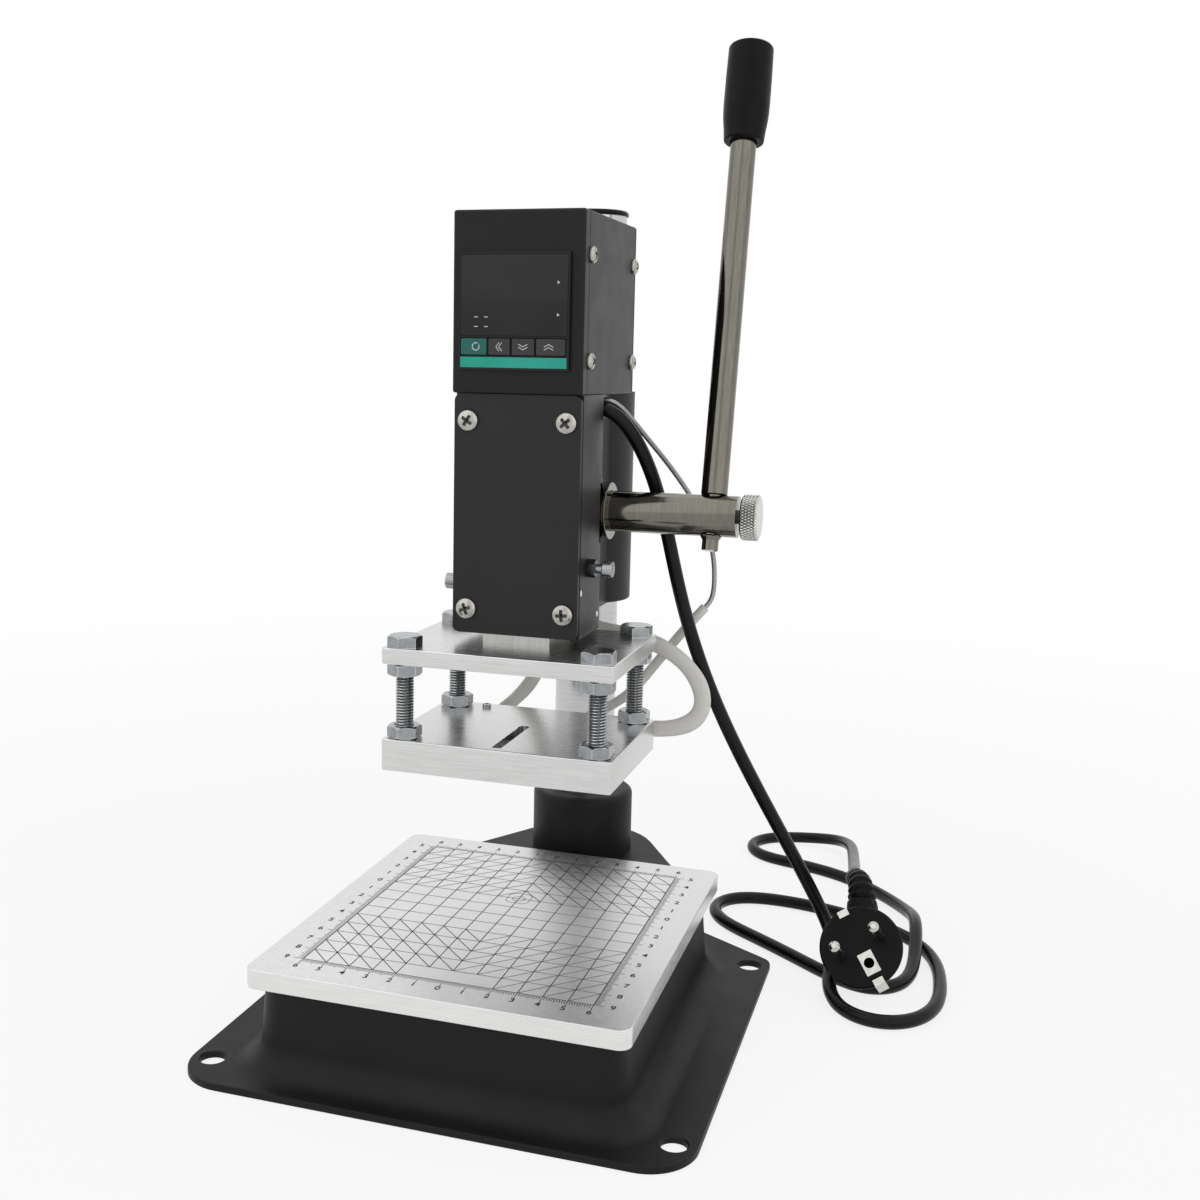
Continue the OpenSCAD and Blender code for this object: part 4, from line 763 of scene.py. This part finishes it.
# Base
BASE_W, BASE_FRONT, BASE_BACK = 207.0, 100.0, 93.4
FLANGE_T, FLANGE_R, FLANGE_REAR_R, FLANGE_TAIL_R, FLANGE_COL_R = 3.0, 20.0, 8.0, 28.0, 57.0
FLANGE_EDGE, FLANGE_BREAK, FLANGE_FOOT = 0.7, 0.2, 0.3
HOLE_DX, HOLE_DY, HOLE_D, HOLE_LOW_EDGE, HOLE_TOP_EDGE = 189.0, 163.0, 10.0, 0.5, 0.6
BASE_H, TOP_W, TOP_FRONT, TOP_BACK, TOP_R, TOP_COL_R = 37.0, 149.0, 82.5, 75.0, 12.0, 37.0
BASE_DRAFT, FOOT_R, TOP_BREAK, BASE_WALL = 3.0, 11.0, 1.5, 3.0
FOOT_STEPS, TOP_STEPS, OUTLINE_STEPS = 12, 6, 14
COL_Y, COL_D, BOSS_D, BOSS_TOP, BOSS_R = 121.5, 30.0, 50.0, 68.5, 3.0
BOSS_LOW, BORE_LOW, BORE_FIT, BORE_LIP, BORE_EDGE = 3.0, 6.0, 0.05, 0.8, 0.6
SET_SCREW_R, SET_SCREW_RUN, SET_SCREW_SHARES = 3.1, (10, 30), (0.3, 0.7)
PAST = 1.0


def tangent_angle(p, q):
    """Outward normal, in degrees, of the common tangent from circle p to circle q."""
    reach = math.hypot(q[0] - p[0], q[1] - p[1])
    return math.degrees(math.atan2(q[1] - p[1], q[0] - p[0]) - math.acos((p[2] - q[2]) / reach))


def wrap_outline(circles, grow):
    """Outline round a list of circles, moved out by grow."""
    found = []
    for i, c in enumerate(circles):
        start = tangent_angle(circles[i - 1], c)
        end = tangent_angle(c, circles[(i + 1) % len(circles)])
        found.append(arc(c[:2], c[2] + grow, start, start + (end - start) % 360, OUTLINE_STEPS))
    return np.vstack(found)


def base_circles(w, front, back, front_r, back_r, tail_r):
    return [
        (-w / 2 + front_r, -front + front_r, front_r), (w / 2 - front_r, -front + front_r, front_r),
        (w / 2 - back_r, back - back_r, back_r), (0, COL_Y, tail_r), (-w / 2 + back_r, back - back_r, back_r),
    ]


def stack(circles, levels):
    """Solid over outlines round circles, each at a height and moved out by its own measure."""
    return cap_rings([level(wrap_outline(circles, grow), z) for z, grow in levels])


def drafted(z):
    """How far the wall's draft has taken it out at a height."""
    return BASE_DRAFT * (BASE_H - z) / BASE_H


def wall_levels():
    """Heights and measures of the wall's outside: its foot, the curve above it and the broken top edge."""
    found = [(0.0, drafted(0) + FOOT_R)]
    for a in np.linspace(0, math.pi / 2, FOOT_STEPS):
        z = FLANGE_T + FOOT_R * (1 - math.cos(a))
        found.append((z, drafted(z) + FOOT_R * (1 - math.sin(a))))
    last = drafted(BASE_H - TOP_BREAK)
    for a in np.linspace(0, math.pi / 2, TOP_STEPS):
        z = BASE_H - TOP_BREAK * (1 - math.sin(a))
        found.append((z, last * (BASE_H - z) / TOP_BREAK - TOP_BREAK * (1 - math.cos(a))))
    return found


def hollow_levels(outer):
    """Heights and measures of the hollow under the base, a wall's thickness inside."""
    foot = outer[1][1] - BASE_WALL
    found = [(-PAST / 2, foot), (0.0, foot)]
    found += [(z - BASE_WALL / 2, grow - BASE_WALL) for z, grow in outer[2 : FOOT_STEPS + 1]]
    return [*found, (BASE_H - BASE_WALL, found[-1][1])]


def base_holes():
    """Flange holes, column bore and set screw bores, as forms to cut away."""
    r, top = HOLE_D / 2, FLANGE_T
    low, high = r + HOLE_LOW_EDGE, r + HOLE_TOP_EDGE
    foot = [(0, -PAST), (low, -PAST), (low, 0), (r, HOLE_LOW_EDGE)]
    hole = lathe([*foot, (r, top - HOLE_TOP_EDGE), (high, top), (high, top + PAST), (0, top + PAST)], 48)
    found = [moved(hole, at(x * HOLE_DX / 2, y * HOLE_DY / 2, 0)) for x in (-1, 1) for y in (-1, 1)]
    r, lip, top = COL_D / 2 + BORE_FIT, COL_D / 2 + BORE_LIP, BOSS_TOP
    mouth = [(r, top - BORE_EDGE), (lip, top + PAST / 10), (lip, top + PAST), (0, top + PAST)]
    found.append(moved(lathe([(0, BORE_LOW), (r, BORE_LOW), *mouth], 64), at(0, COL_Y, 0)))
    screw = rod(SET_SCREW_R, *SET_SCREW_RUN)
    for share in SET_SCREW_SHARES:
        place = at(0, COL_Y, BASE_H + share * (BOSS_TOP - BASE_H))
        found.append(moved(screw, place @ turned("X", -90)))
    return found


def make_base():
    flange = base_circles(BASE_W, BASE_FRONT, BASE_BACK, FLANGE_R, FLANGE_REAR_R, FLANGE_TAIL_R)
    top = base_circles(TOP_W, TOP_FRONT, TOP_BACK, TOP_R, TOP_R, TOP_COL_R)
    rim = [(0, -FLANGE_FOOT), (FLANGE_FOOT, 0), (FLANGE_T - FLANGE_EDGE, 0)]
    rim += [(FLANGE_T - FLANGE_BREAK, -FLANGE_BREAK), (FLANGE_T, -FLANGE_EDGE)]
    tail = lathe([(0, 0), *((FLANGE_COL_R + grow, z) for z, grow in rim), (0, FLANGE_T)], 128)
    edge = arc((BOSS_D / 2 - BOSS_R, BOSS_TOP - BOSS_R), BOSS_R, 0, 90, 8)
    boss = lathe([(0, BOSS_LOW), (BOSS_D / 2, BOSS_LOW), *edge, (0, BOSS_TOP)], 96)
    outer = wall_levels()
    made = mesh_object("base_look", stack(flange, rim))
    cut(made, [moved(tail, at(0, COL_Y, 0)), stack(top, outer)], "UNION")
    cut(made, [stack(top, hollow_levels(outer))])
    cut(made, [moved(boss, at(0, COL_Y, 0))], "UNION")
    cut(made, base_holes())
    dress(made, "base", angle=40, weighted=True)


# Bed plate and its print
BED_R, BED_EDGE = 5.0, 0.5
GRID_X, GRID_FRONT, GRID_BACK, GRID_ZERO, GRID_STEP = 60.0, -69.5, 70.5, 20.5, 10.0
BAND_FRONT = -19.5
GAP_X, GAP_FRONT = 20.0, -59.5
LINE_W, TICK_W, SIDE_TICK_W, MARK_W = 0.38, 0.32, 0.2, 0.3
TICK_LONG, TICK_HALF, TICK_SHORT, BACK_TICK = 4.2, 3.2, 2.4, 0.8
DIGIT_SIZE, DIGIT_STROKE = 4.6, 0.06
FRONT_DIGIT, BACK_DIGIT, SIDE_DIGIT = 6.5, 7.2, 7.4
MARK_R = 2.8
MARK_CORNERS = [
    (-5.2, -3), (-5.2, 4), (-3, 6), (3, 6), (5.2, 4), (5.2, -3), (3.6, -5), (-3.6, -5), (-5.2, -3)
]


def digits(text, x, y):
    """Flat digits on the level plane, read from the front."""
    data = bpy.data.curves.new("digits", "FONT")
    data.body, data.size = text, DIGIT_SIZE
    data.align_x, data.align_y = "CENTER", "CENTER"
    data.extrude = INK_H / 2
    data.offset = DIGIT_STROKE
    data.resolution_u = 3
    made = linked("digits", data)
    form = form_of(shown_mesh(made), 1.0)
    bpy.data.objects.remove(made)
    return moved(form, at(x, y, INK_H / 2))


def slanted(x0, x1, y0, y1, rising):
    """Lines at 45 degrees through the grid's crossings inside a rectangle."""
    found = []
    reach = y1 - y0
    first, last = round((x0 - reach) / GRID_STEP), round(x1 / GRID_STEP)
    sense, base_y = (1, y0) if rising else (-1, y1)
    for k in range(first, last):
        start = GRID_STEP * k
        ends = [(x, base_y + sense * (x - start)) for x in (max(x0, start), min(x1, start + reach))]
        if ends[1][0] - ends[0][0] > 1:
            found.append(bar(*ends, LINE_W))
    return found


def tick_length(i):
    """Length of a ruler's tick at a millimetre."""
    if i % 10 == 0:
        return TICK_LONG
    return TICK_HALF if i % 5 == 0 else TICK_SHORT


def strokes(line, width):
    return [bar(a, b, width) for a, b in zip(line[:-1], line[1:])]


def bed_grid(across, rows):
    """Dark and grey forms of the squares and slanting lines."""
    dark, grey = [], []
    for x in across:
        end = GAP_FRONT if abs(x) < GAP_X - 1 else GRID_FRONT
        dark.append(bar((x, end), (x, GRID_BACK), LINE_W))
    for y in rows:
        grey.append(bar((-GRID_X, y), (GRID_X, y), LINE_W, INK_H * 0.9))
    dark += slanted(0, GRID_X, GRID_ZERO, GRID_BACK, False)
    dark += slanted(-GRID_X, -GAP_X, GRID_FRONT, BAND_FRONT, False)
    dark += slanted(-GAP_X, 0, GAP_FRONT, BAND_FRONT, False)
    grey += slanted(-GRID_X, 0, GRID_ZERO, GRID_BACK, True)
    grey += slanted(0, GAP_X, GAP_FRONT, BAND_FRONT, True)
    grey += slanted(GAP_X, GRID_X, GRID_FRONT, BAND_FRONT, True)
    return dark, grey


def bed_rulers(across, rows):
    """Ticks and numbers on the four sides of the grid."""
    found = []
    half, deep = round(GRID_X), round(GRID_BACK - GRID_FRONT)
    for i in range(-half, half + 1):
        long = tick_length(i)
        found.append(bar((i, GRID_FRONT), (i, GRID_FRONT - long), TICK_W))
        found.append(bar((i, GRID_BACK), (i, GRID_BACK + long * BACK_TICK), TICK_W))
    for i in range(deep + 1):
        y = GRID_FRONT + i
        for s in (-1, 1):
            end = s * (GRID_X + tick_length(i))
            found.append(bar((s * GRID_X, y), (end, y), SIDE_TICK_W))
    for x in across:
        number = str(abs(round(x / GRID_STEP)))
        found.append(digits(number, x, GRID_FRONT - FRONT_DIGIT))
        found.append(digits(number, x, GRID_BACK + BACK_DIGIT))
    for y in rows:
        number = str(abs(round((y - GRID_ZERO) / GRID_STEP)))
        found += [digits(number, s * (GRID_X + SIDE_DIGIT), y) for s in (-1, 1)]
    return found


def make_bed():
    made = piece("bed_plate_look", node_slab("bed_plate", BED_R, BED_EDGE), "bed_plate", weighted=True)
    paint_faces(made, "bed_edge", lambda normal, middle: abs(normal.z) < 0.9)
    top = at(0, 0, extent("bed_plate")[1][2])
    across = np.arange(-GRID_X, GRID_X + 1, GRID_STEP)
    rows = np.arange(GRID_FRONT, GRID_BACK + 1, GRID_STEP)
    dark, grey = bed_grid(across, rows)
    dark += bed_rulers(across, rows)
    for line in (arc((0, GRID_ZERO), MARK_R, 0, 360, 32), np.array(MARK_CORNERS) + (0, GRID_ZERO)):
        grey += strokes(line, MARK_W)
    for tone, forms in (("dark", dark), ("grey", grey)):
        piece("bed_print_" + tone, moved(joined(forms), top), body="frame", look="ink_" + tone)


# Plates, bolts and nuts
PLATE_R, PLATE_EDGE = 1.5, 0.6
BOLT_D, BOLT_AF, BOLT_PITCH, THREAD_DEPTH, ROOT_SHARE = 8.0, 13.0, 1.25, 0.7, 0.6
SLOT_W, SLOT_LEN, SLOT_FRONT_IN, SLOT_T, SLOT_R = 4.2, 36.2, 3.75, 6.0, 0.4
GAUGE_D, GAUGE_DEEP = 5.0, 9.0
HEATER_BORE, PROBE_BORE, PROBE_X, BORE_DEEP, BORE_OUT = 9.1, 4.1, 12.0, 61.0, 4.0


def heating_plate_cuts(lo, hi):
    """Groove, gauge hole and the three bores from behind."""
    front, top = lo[1] + SLOT_FRONT_IN, hi[2]
    groove = slab(SLOT_W, SLOT_LEN, SLOT_R, top - SLOT_T, top + PAST, 0.01)
    gauge = rod(GAUGE_D / 2, top - GAUGE_DEEP, top + PAST, 40)
    found = [moved(groove, at(0, front + SLOT_LEN / 2, 0)), moved(gauge, at(0, front + SLOT_LEN, 0))]
    for x, d in ((-HEATER_X, HEATER_BORE), (HEATER_X, HEATER_BORE), (PROBE_X, PROBE_BORE)):
        bore = rod(d / 2, 0, BORE_DEEP + BORE_OUT, 40)
        found.append(moved(bore, at(x, hi[1] - BORE_DEEP, HEATER_Z) @ turned("X", -90)))
    return found


def make_plates():
    for node in ("upper_plate", "heating_plate"):
        made = mesh_object(node + "_look", node_slab(node, PLATE_R, PLATE_EDGE))
        if node == "heating_plate":
            cut(made, heating_plate_cuts(*extent(node)))
        dress(made, node, weighted=True)


def make_nuts():
    for node in ("upper_nuts", "lower_nuts"):
        forms = []
        for lo, hi, mid in solids(node):
            nut = hexagon(BOLT_AF, hi[2] - lo[2], BOLT_D)
            forms.append(moved(nut, at(mid[0], mid[1], lo[2])))
        piece(node + "_look", joined(forms), node, angle=28)


def make_bolts():
    """Bolts of the two plates, with painted shade on the roots of their threads."""
    forms, axes = [], []
    seat = extent("upper_plate")[1][2]
    top = seat - PAST
    for lo, hi, mid in solids("plate_bolts"):
        x, y = mid[:2]
        axes.append((x, y))
        forms.append(moved(hexagon(BOLT_AF, hi[2] - seat), at(x, y, seat)))
        forms.append(moved(thread(BOLT_D, BOLT_PITCH, lo[2], top, THREAD_DEPTH), at(x, y, 0)))
    made = piece("plate_bolts_look", joined(forms), "plate_bolts", angle=28)
    root = BOLT_D / 2 - ROOT_SHARE * THREAD_DEPTH

    # Faces in the thread roots get the painted shade.
    def in_root(normal, middle):
        return middle[2] < top and np.linalg.norm(np.array(axes) - middle[:2], axis=1).min() < root

    paint_faces(made, "painted_shade_root_steel", in_root)


# Screws with a cross recess
CROSS_LONG, CROSS_WIDE, CROSS_TAPER, CROSS_ROUND = 0.6, 0.17, 0.8, 0.2
CROSS_DEEP, CROSS_OUT = 0.25, 1.1
# The FLOOR sizes place dark inserts in the screws' recesses as painted shade.
FLOOR_FIT, FLOOR_LOW, FLOOR_TOP = 0.97, 0.26, 0.5
HEAD_WALL, HEAD_FOOT = 0.35, 0.15
SHANK_R = 2.0
COVER_SHANK, BOX_SHANK = 10.0, 4.0


def cross_arms(d, low, high):
    """Two crossed bars of a screw's recess between two heights."""
    long, wide = d * CROSS_LONG, d * CROSS_WIDE
    rings = []
    for share, z in ((CROSS_TAPER, low), (1, high)):
        rings.append(level(rounded_outline(long * share, wide * share, wide * CROSS_ROUND, 3), z))
    return [moved(cap_rings(rings), turned("Z", angle)) for angle in (0, 90)]


def cross_head(d, height):
    """Domed screw head on z = 0 with a cross recess."""
    angles = np.linspace(0.1, math.pi / 2 - 0.08, 9)
    dome = [(d / 2 * math.cos(a), height * (HEAD_WALL + (1 - HEAD_WALL) * math.sin(a))) for a in angles]
    made = mesh_object("head", lathe([(0, 0), (d / 2 - 0.1, 0), (d / 2, HEAD_FOOT), *dome, (0, height)], 48))
    cut(made, cross_arms(d, height * CROSS_DEEP, height * CROSS_OUT))
    form = form_of(made.data, MM)
    bpy.data.objects.remove(made)
    return form


def screw_set(node, places, length):
    """All screws of one node, with dark inserts in their recesses as painted shade."""
    forms, floors = [], []
    shank = rod(SHANK_R, -length, 0.3)
    for place, d, tall in places:
        forms += [moved(cross_head(d, tall), place), moved(shank, place)]
        # Dark inserts in the recess: painted shade.
        arms = cross_arms(d * FLOOR_FIT, tall * FLOOR_LOW, tall * FLOOR_TOP)
        floors += [moved(arm, place) for arm in arms]
    piece(node + "_look", joined(forms), node, look="screw_nickel")
    piece(node + "_floors", joined(floors), body="frame", look="dark_steel_and_painted_shade")


def make_screws():
    """Cross-head screws of the front cover and of the box's sides, each turned its own way."""
    cover = extent("front_cover")[0][1]
    places = []
    for i, (lo, hi, mid) in enumerate(solids("front_cover_screws")):
        place = at(mid[0], cover, mid[2]) @ turned("X", 90) @ turned("Z", 20 + 37 * i)
        places.append((place, hi[0] - lo[0], cover - lo[1]))
    screw_set("front_cover_screws", places, COVER_SHANK)
    wall = extent("box_shell")[1][0]
    places = []
    for i, (lo, hi, mid) in enumerate(solids("box_screws")):
        side = 1 if hi[0] > 0 else -1
        place = at(side * wall, mid[1], mid[2]) @ turned("Y", 90 * side) @ turned("Z", 15 + 29 * i)
        places.append((place, hi[1] - lo[1], max(hi[0], -lo[0]) - wall))
    screw_set("box_screws", places, BOX_SHANK)


def make_set_screws():
    """Two small bright screws, flush with the right side of the head."""
    side = head_hi[0]
    forms = []
    for lo, hi, mid in solids("gib_set_screws"):
        r = (hi[1] - lo[1]) / 2
        end = [(r, side - 0.25), (r - 0.1, side - 0.08), (r - 0.3, side - 0.02)]
        form = lathe([(0, lo[0]), (r - 0.3, lo[0]), (r, lo[0] + 0.3), *end, (0, side)], 32)
        forms.append(moved(form, at(0, mid[1], mid[2]) @ turned("Y", 90)))
    piece("gib_set_screws_look", joined(forms), "gib_set_screws", look="bright_steel")


# Lever, shaft and thumb screw
LEVER_LEAN, LEVER_LEN, LEVER_X = 14.5, 214.2, 75.0
SHAFT_Y, SHAFT_Z = 52.0, 217.2
GRIP_LEN, GRIP_FOOT_R, GRIP_R, GRIP_TOP_R, GRIP_EDGE, GRIP_DOME = 46.0, 8.9, 10.25, 10.0, 1.6, 1.5
GRIP_BORE_R, GRIP_BORE, GRIP_BORE_EDGE, GRIP_FOOT_EDGE, GRIP_TAPER = 5.8, 36.2, 0.4, 0.8, 0.6
GRIP_SWELL = [(0.06, 0.14), (0.12, 0.32), (0.18, 0.6), (0.24, 0.82), (0.3, 0.94), (0.38, 1.0), (0.5, 1.0)]
KNOB_LEN, KNOB_EDGE, KNOB_EDGE_LEN = 7.5, 1.1, 0.7
KNURL_DEPTH, KNURL_STARTS, KNURL_SLOPE, KNURL_SHADE = 0.6, 46, 0.5, 0.73
STEM_R, STEM_EDGE, STEM_IN = 3.0, 0.4, 0.2


def make_grip():
    foot, edge = GRIP_FOOT_EDGE, GRIP_BORE_EDGE
    profile = [(0, GRIP_BORE), (GRIP_BORE_R, GRIP_BORE), (GRIP_BORE_R, edge), (GRIP_BORE_R + edge, 0)]
    profile += [*arc((GRIP_FOOT_R - foot, foot), foot, -90, 0, 5)]
    profile += [(GRIP_FOOT_R + k * (GRIP_R - GRIP_FOOT_R), s * GRIP_LEN) for s, k in GRIP_SWELL]
    taper, shoulder = GRIP_LEN * GRIP_TAPER, GRIP_LEN - GRIP_DOME - GRIP_EDGE
    profile += [(GRIP_R + k * (GRIP_TOP_R - GRIP_R), taper + k * (shoulder - taper)) for k in (0.2, 0.6)]
    rim = GRIP_TOP_R - GRIP_EDGE
    profile += [*arc((rim, shoulder), GRIP_EDGE, 0, 80, 7)]
    profile += [(rim * k, GRIP_LEN - GRIP_DOME * k * k) for k in (0.9, 0.7, 0.5, 0.3, 0.1)]
    lever = at(LEVER_X, SHAFT_Y, SHAFT_Z) @ turned("X", -LEVER_LEAN)
    form = moved(lathe([*profile, (0, GRIP_LEN)], 72), lever @ at(0, 0, LEVER_LEN - GRIP_LEN))
    piece("lever_grip_look", form, "lever_grip", angle=45, weighted=True)


def knurled(r, sides=368, steps=48):
    """Knob about Z with a diamond knurl and chamfered ends."""
    a, unit = circle(sides)
    end = (r - KNOB_EDGE) * unit
    rings = [[[0, 0, 0]], level(end, 0)]
    for z in np.linspace(KNOB_EDGE_LEN, KNOB_LEN - KNOB_EDGE_LEN, steps):
        tops = []
        for sense in (1, -1):
            turn = (a + sense * KNURL_SLOPE * z / r) / (2 * math.pi) * KNURL_STARTS % 1
            tops.append(1 - np.abs(2 * turn - 1))
        deep = KNURL_DEPTH * (1 - np.minimum(*tops))
        rings.append(level((r - deep)[:, None] * unit, z))
    return ring_form([*rings, level(end, KNOB_LEN), [[0, 0, KNOB_LEN]]])


def make_thumb_screw():
    """Knurled knob and its stem, with painted shade on the knurl's grooves and on the stem."""
    lo, hi = extent("thumb_screw")
    radius, start = (hi[1] - lo[1]) / 2, hi[0] - KNOB_LEN
    inner, low = start + STEM_IN, lo[0]
    stem = [(0, low), (STEM_R - STEM_EDGE, low), (STEM_R, low + 0.5), (STEM_R, inner), (0, inner)]
    axis = at(0, SHAFT_Y, SHAFT_Z) @ turned("Y", 90)
    forms = [moved(knurled(radius), axis @ at(0, 0, start)), moved(lathe(stem, 40), axis)]
    made = piece("thumb_screw_look", joined(forms), "thumb_screw", look="knob_steel", angle=30)

    # The knurl's grooves and the stem get painted shade.
    def shaded(normal, middle):
        away = math.hypot(middle[1] - SHAFT_Y, middle[2] - SHAFT_Z)
        grooved = start + 0.8 < middle[0] < hi[0] - 0.8 and away < radius - KNURL_SHADE * KNURL_DEPTH
        return grooved or (middle[0] < inner and away < STEM_R + 0.1)

    paint_faces(made, "dark_steel_and_painted_shade", shaded)


# Controller face
MARK_H = 0.03
NUMERAL_LEAN, NUMERAL_GAP = 0.12, 0.35
KEY_R, KEY_EDGE = 0.5, 0.25
RING_R, RING_W, RING_DX, CHEVRON_W, CHEVRON_GAP = 1.5, 0.4, 1.0, 0.3, 0.6
KEY_ARROWS = {
    "key_set": None, "key_shift": (180, 1.75, 1.3), "key_down": (270, 2.0, 1.1), "key_up": (90, 2.0, 1.1)
}
KEY_UP_DX = -0.8


def on_face(form, depth):
    """Puts a form drawn in X and Z, with its height to the front, on the controller's face."""
    return moved(form, at(0, depth, 0) @ turned("X", 90))


def flat_shape(points):
    return cap_rings([level(points, h) for h in (0, MARK_H)])


def chevrons(turn, half, rise):
    """Two nested arrow strokes of a half width and a rise."""
    found = []
    for k in (-CHEVRON_GAP, CHEVRON_GAP):
        found += [bar((k + rise / 2, 0), (k - rise / 2, s * half), CHEVRON_W) for s in (-1, 1)]
    return moved(joined(found), turned("Z", turn))


def numeral(x, z, w, h, thick):
    """Seven strokes of a numeral display, leaning to the right."""
    lean = Matrix(((1, NUMERAL_LEAN, 0, 0), (0, 1, 0, 0), (0, 0, 1, 0), (0, 0, 0, 1)))
    t = thick / 2
    places = [(0, dz, 0) for dz in (h, 0, -h)]
    places += [(dx, dz, 90) for dx in (-w, w) for dz in (h / 2, -h / 2)]
    found = []
    for dx, dz, turn in places:
        r = (h if turn else 2 * w) / 2 - NUMERAL_GAP
        points = [(-r, 0), (-r + t, -t), (r - t, -t), (r, 0), (r - t, t), (-r + t, t)]
        found.append(moved(flat_shape(points), at(x, z, 0) @ lean @ at(dx, dz, 0) @ turned("Z", turn)))
    return joined(found)


def make_display():
    """Unlit numerals, and small marks beside them."""
    lo, hi = extent("display_lens")
    x, z, top = lo[0], lo[2], hi[2]
    numerals = [numeral(x + 10.5 + 8.2 * i, top - 14.5, w=2.6, h=5.6, thick=0.9) for i in range(4)]
    numerals += [numeral(x + 15.5 + 6.0 * i, z + 6.2, w=1.5, h=3.2, thick=0.6) for i in range(4)]
    arrow = np.array([(0, -0.7), (1.1, 0), (0, 0.7)])
    marks = [flat_shape(arrow + (hi[0] - 4.4, top - dz)) for dz in (11.2, 24.2)]
    dash = bar((0, 0), (1.6, 0), 0.35, MARK_H)
    marks += [moved(dash, at(x + dx, z + dz, 0)) for dx in (6, 10.4) for dz in (7.6, 3.7)]
    piece("display_digits", on_face(joined(numerals), lo[1]), body="frame", look="segment_dark")
    piece("display_marks", on_face(joined(marks), lo[1]), body="frame", look="ink_white")


def make_keys():
    for node, arrows in KEY_ARROWS.items():
        lo, hi = extent(node)
        mid, size = (lo + hi) / 2, hi - lo
        form = slab(size[0], size[2], KEY_R, 0, size[1], KEY_EDGE)
        piece(node + "_look", moved(form, at(mid[0], hi[1], mid[2]) @ turned("X", 90)), node, weighted=True)
        if arrows:
            mark = chevrons(*arrows)
        else:
            mark = joined(strokes(arc((RING_DX, 0), RING_R, 60, 390, 24), RING_W))
        dx = KEY_UP_DX if node == "key_up" else 0
        mark = moved(mark, at(mid[0] + dx, mid[2], 0))
        piece(node + "_mark", on_face(mark, lo[1]), body=BODY_OF[node], look="ink_white")


# CAD nodes that keep their shape
OWN_LOOKS = {
    "controller_strip": "strip_teal",
    "gib_lock_nut": "dark_steel_and_painted_shade",
    "head_housing": "head_paint",
    "front_cover": "head_paint",
}
SOFT_EDGES = {
    "head_housing": 0.5, "front_cover": 0.5, "box_front": 1.1, "box_shell": 1.1, "box_back": 1.1,
    "controller_body": 0.4, "display_lens": 0.12, "column_cap": 0.4, "pinion_shaft": 0.4,
    "shaft_bush_right": 0.3, "lever_rod": 0.4, "lever_nut": 0.3, "gib_lock_nut": 0.25, "gib_screw": 0.4,
    "ram_stop_screw": 0.4, "plug_body": 0.5, "plug_earth": 0.15, "plug_pins": 0.1,
}


def dress_nodes():
    for node, made in frame["nodes"].items():
        shade(made, LOOKS[OWN_LOOKS.get(node, SLOT_OF[node])], SHARP_ANGLE)


def make_soft_copies():
    for node, width in SOFT_EDGES.items():
        dress(softened(node, width), node, look=OWN_LOOKS.get(node), weighted=True)


# Floor and light
FLOOR_REACH, FLOOR_DROP, FLOOR_TONE = 6000.0, 0.02, 0.86
FLOOR_WHITE, FLOOR_FADE = (0.82, 1.0), (0.35, 1.1)
WORLD_LEVEL = (0.62, 1.0)
LAMP_TARGET = (0, 40, 160)
LAMPS = {
    "key": ((-900, -1000, 1200), 2000, 5.0),
    "fill": ((1100, -700, 700), 1600, 3.0),
    "top": ((0, 300, 1500), 1800, 4.0),
}


def seen_factor(look):
    """1 for camera, mirror and glass rays, and 0 for the rest."""
    path = look.node("LightPath").outputs
    some = look.math("MAXIMUM", path["Is Camera Ray"], path["Is Glossy Ray"])
    return look.math("MAXIMUM", some, path["Is Transmission Ray"])


def make_floor():
    """Pale floor that keeps the shadow near the object and fades to the white background."""
    corners = FLOOR_REACH * np.array([(-1, -1, 0), (1, -1, 0), (1, 1, 0), (-1, 1, 0)])
    floor = mesh_object("floor", (corners - (0, 0, FLOOR_DROP), [(0, 1, 2, 3)]))
    look = Look()
    look.material.name = "floor"
    place = look.node("TexCoord").outputs["Object"]
    away = look.node("VectorMath", {0: place}, operation="LENGTH").outputs["Value"]
    white_share = look.spread(away, *FLOOR_WHITE, *FLOOR_FADE)
    plain = look.node("BsdfDiffuse", {"Color": rgba(FLOOR_TONE)}).outputs["BSDF"]
    white = look.node("Emission", {"Color": rgba(1.0), "Strength": 1.0}).outputs["Emission"]
    shown = look.node("MixShader", {0: white_share, 1: plain, 2: white}).outputs["Shader"]
    both = look.node("MixShader", {0: seen_factor(look), 1: plain, 2: shown}).outputs["Shader"]
    look.put(look.tree.nodes["Material Output"].inputs["Surface"], both)
    floor.data.materials.append(look.material)


def make_world():
    scene.world = bpy.data.worlds.new("studio")
    look = Look(scene.world)
    back = look.tree.nodes["Background"].inputs
    back["Color"].default_value = rgba(1.0)
    look.put(back["Strength"], look.spread(seen_factor(look), *WORLD_LEVEL, 0.0, 1.0))


def make_lamps():
    target = Vector(LAMP_TARGET) * MM
    for name, (place, size, power) in LAMPS.items():
        data = bpy.data.lights.new(name, "AREA")
        data.energy, data.size = power, size * MM
        made = linked(name, data)
        made.location = Vector(place) * MM
        made.rotation_euler = (target - made.location).to_track_quat("-Z", "Y").to_euler()


make_camera()
dress_nodes()
cord, cord_path = make_power_cord()
make_leads()
make_base()
make_bed()
make_plates()
make_bolts()
make_nuts()
make_screws()
make_set_screws()
make_grip()
make_thumb_screw()
make_display()
make_keys()
make_soft_copies()
make_floor()
make_world()
make_lamps()
scene.view_settings.view_transform = "Standard"
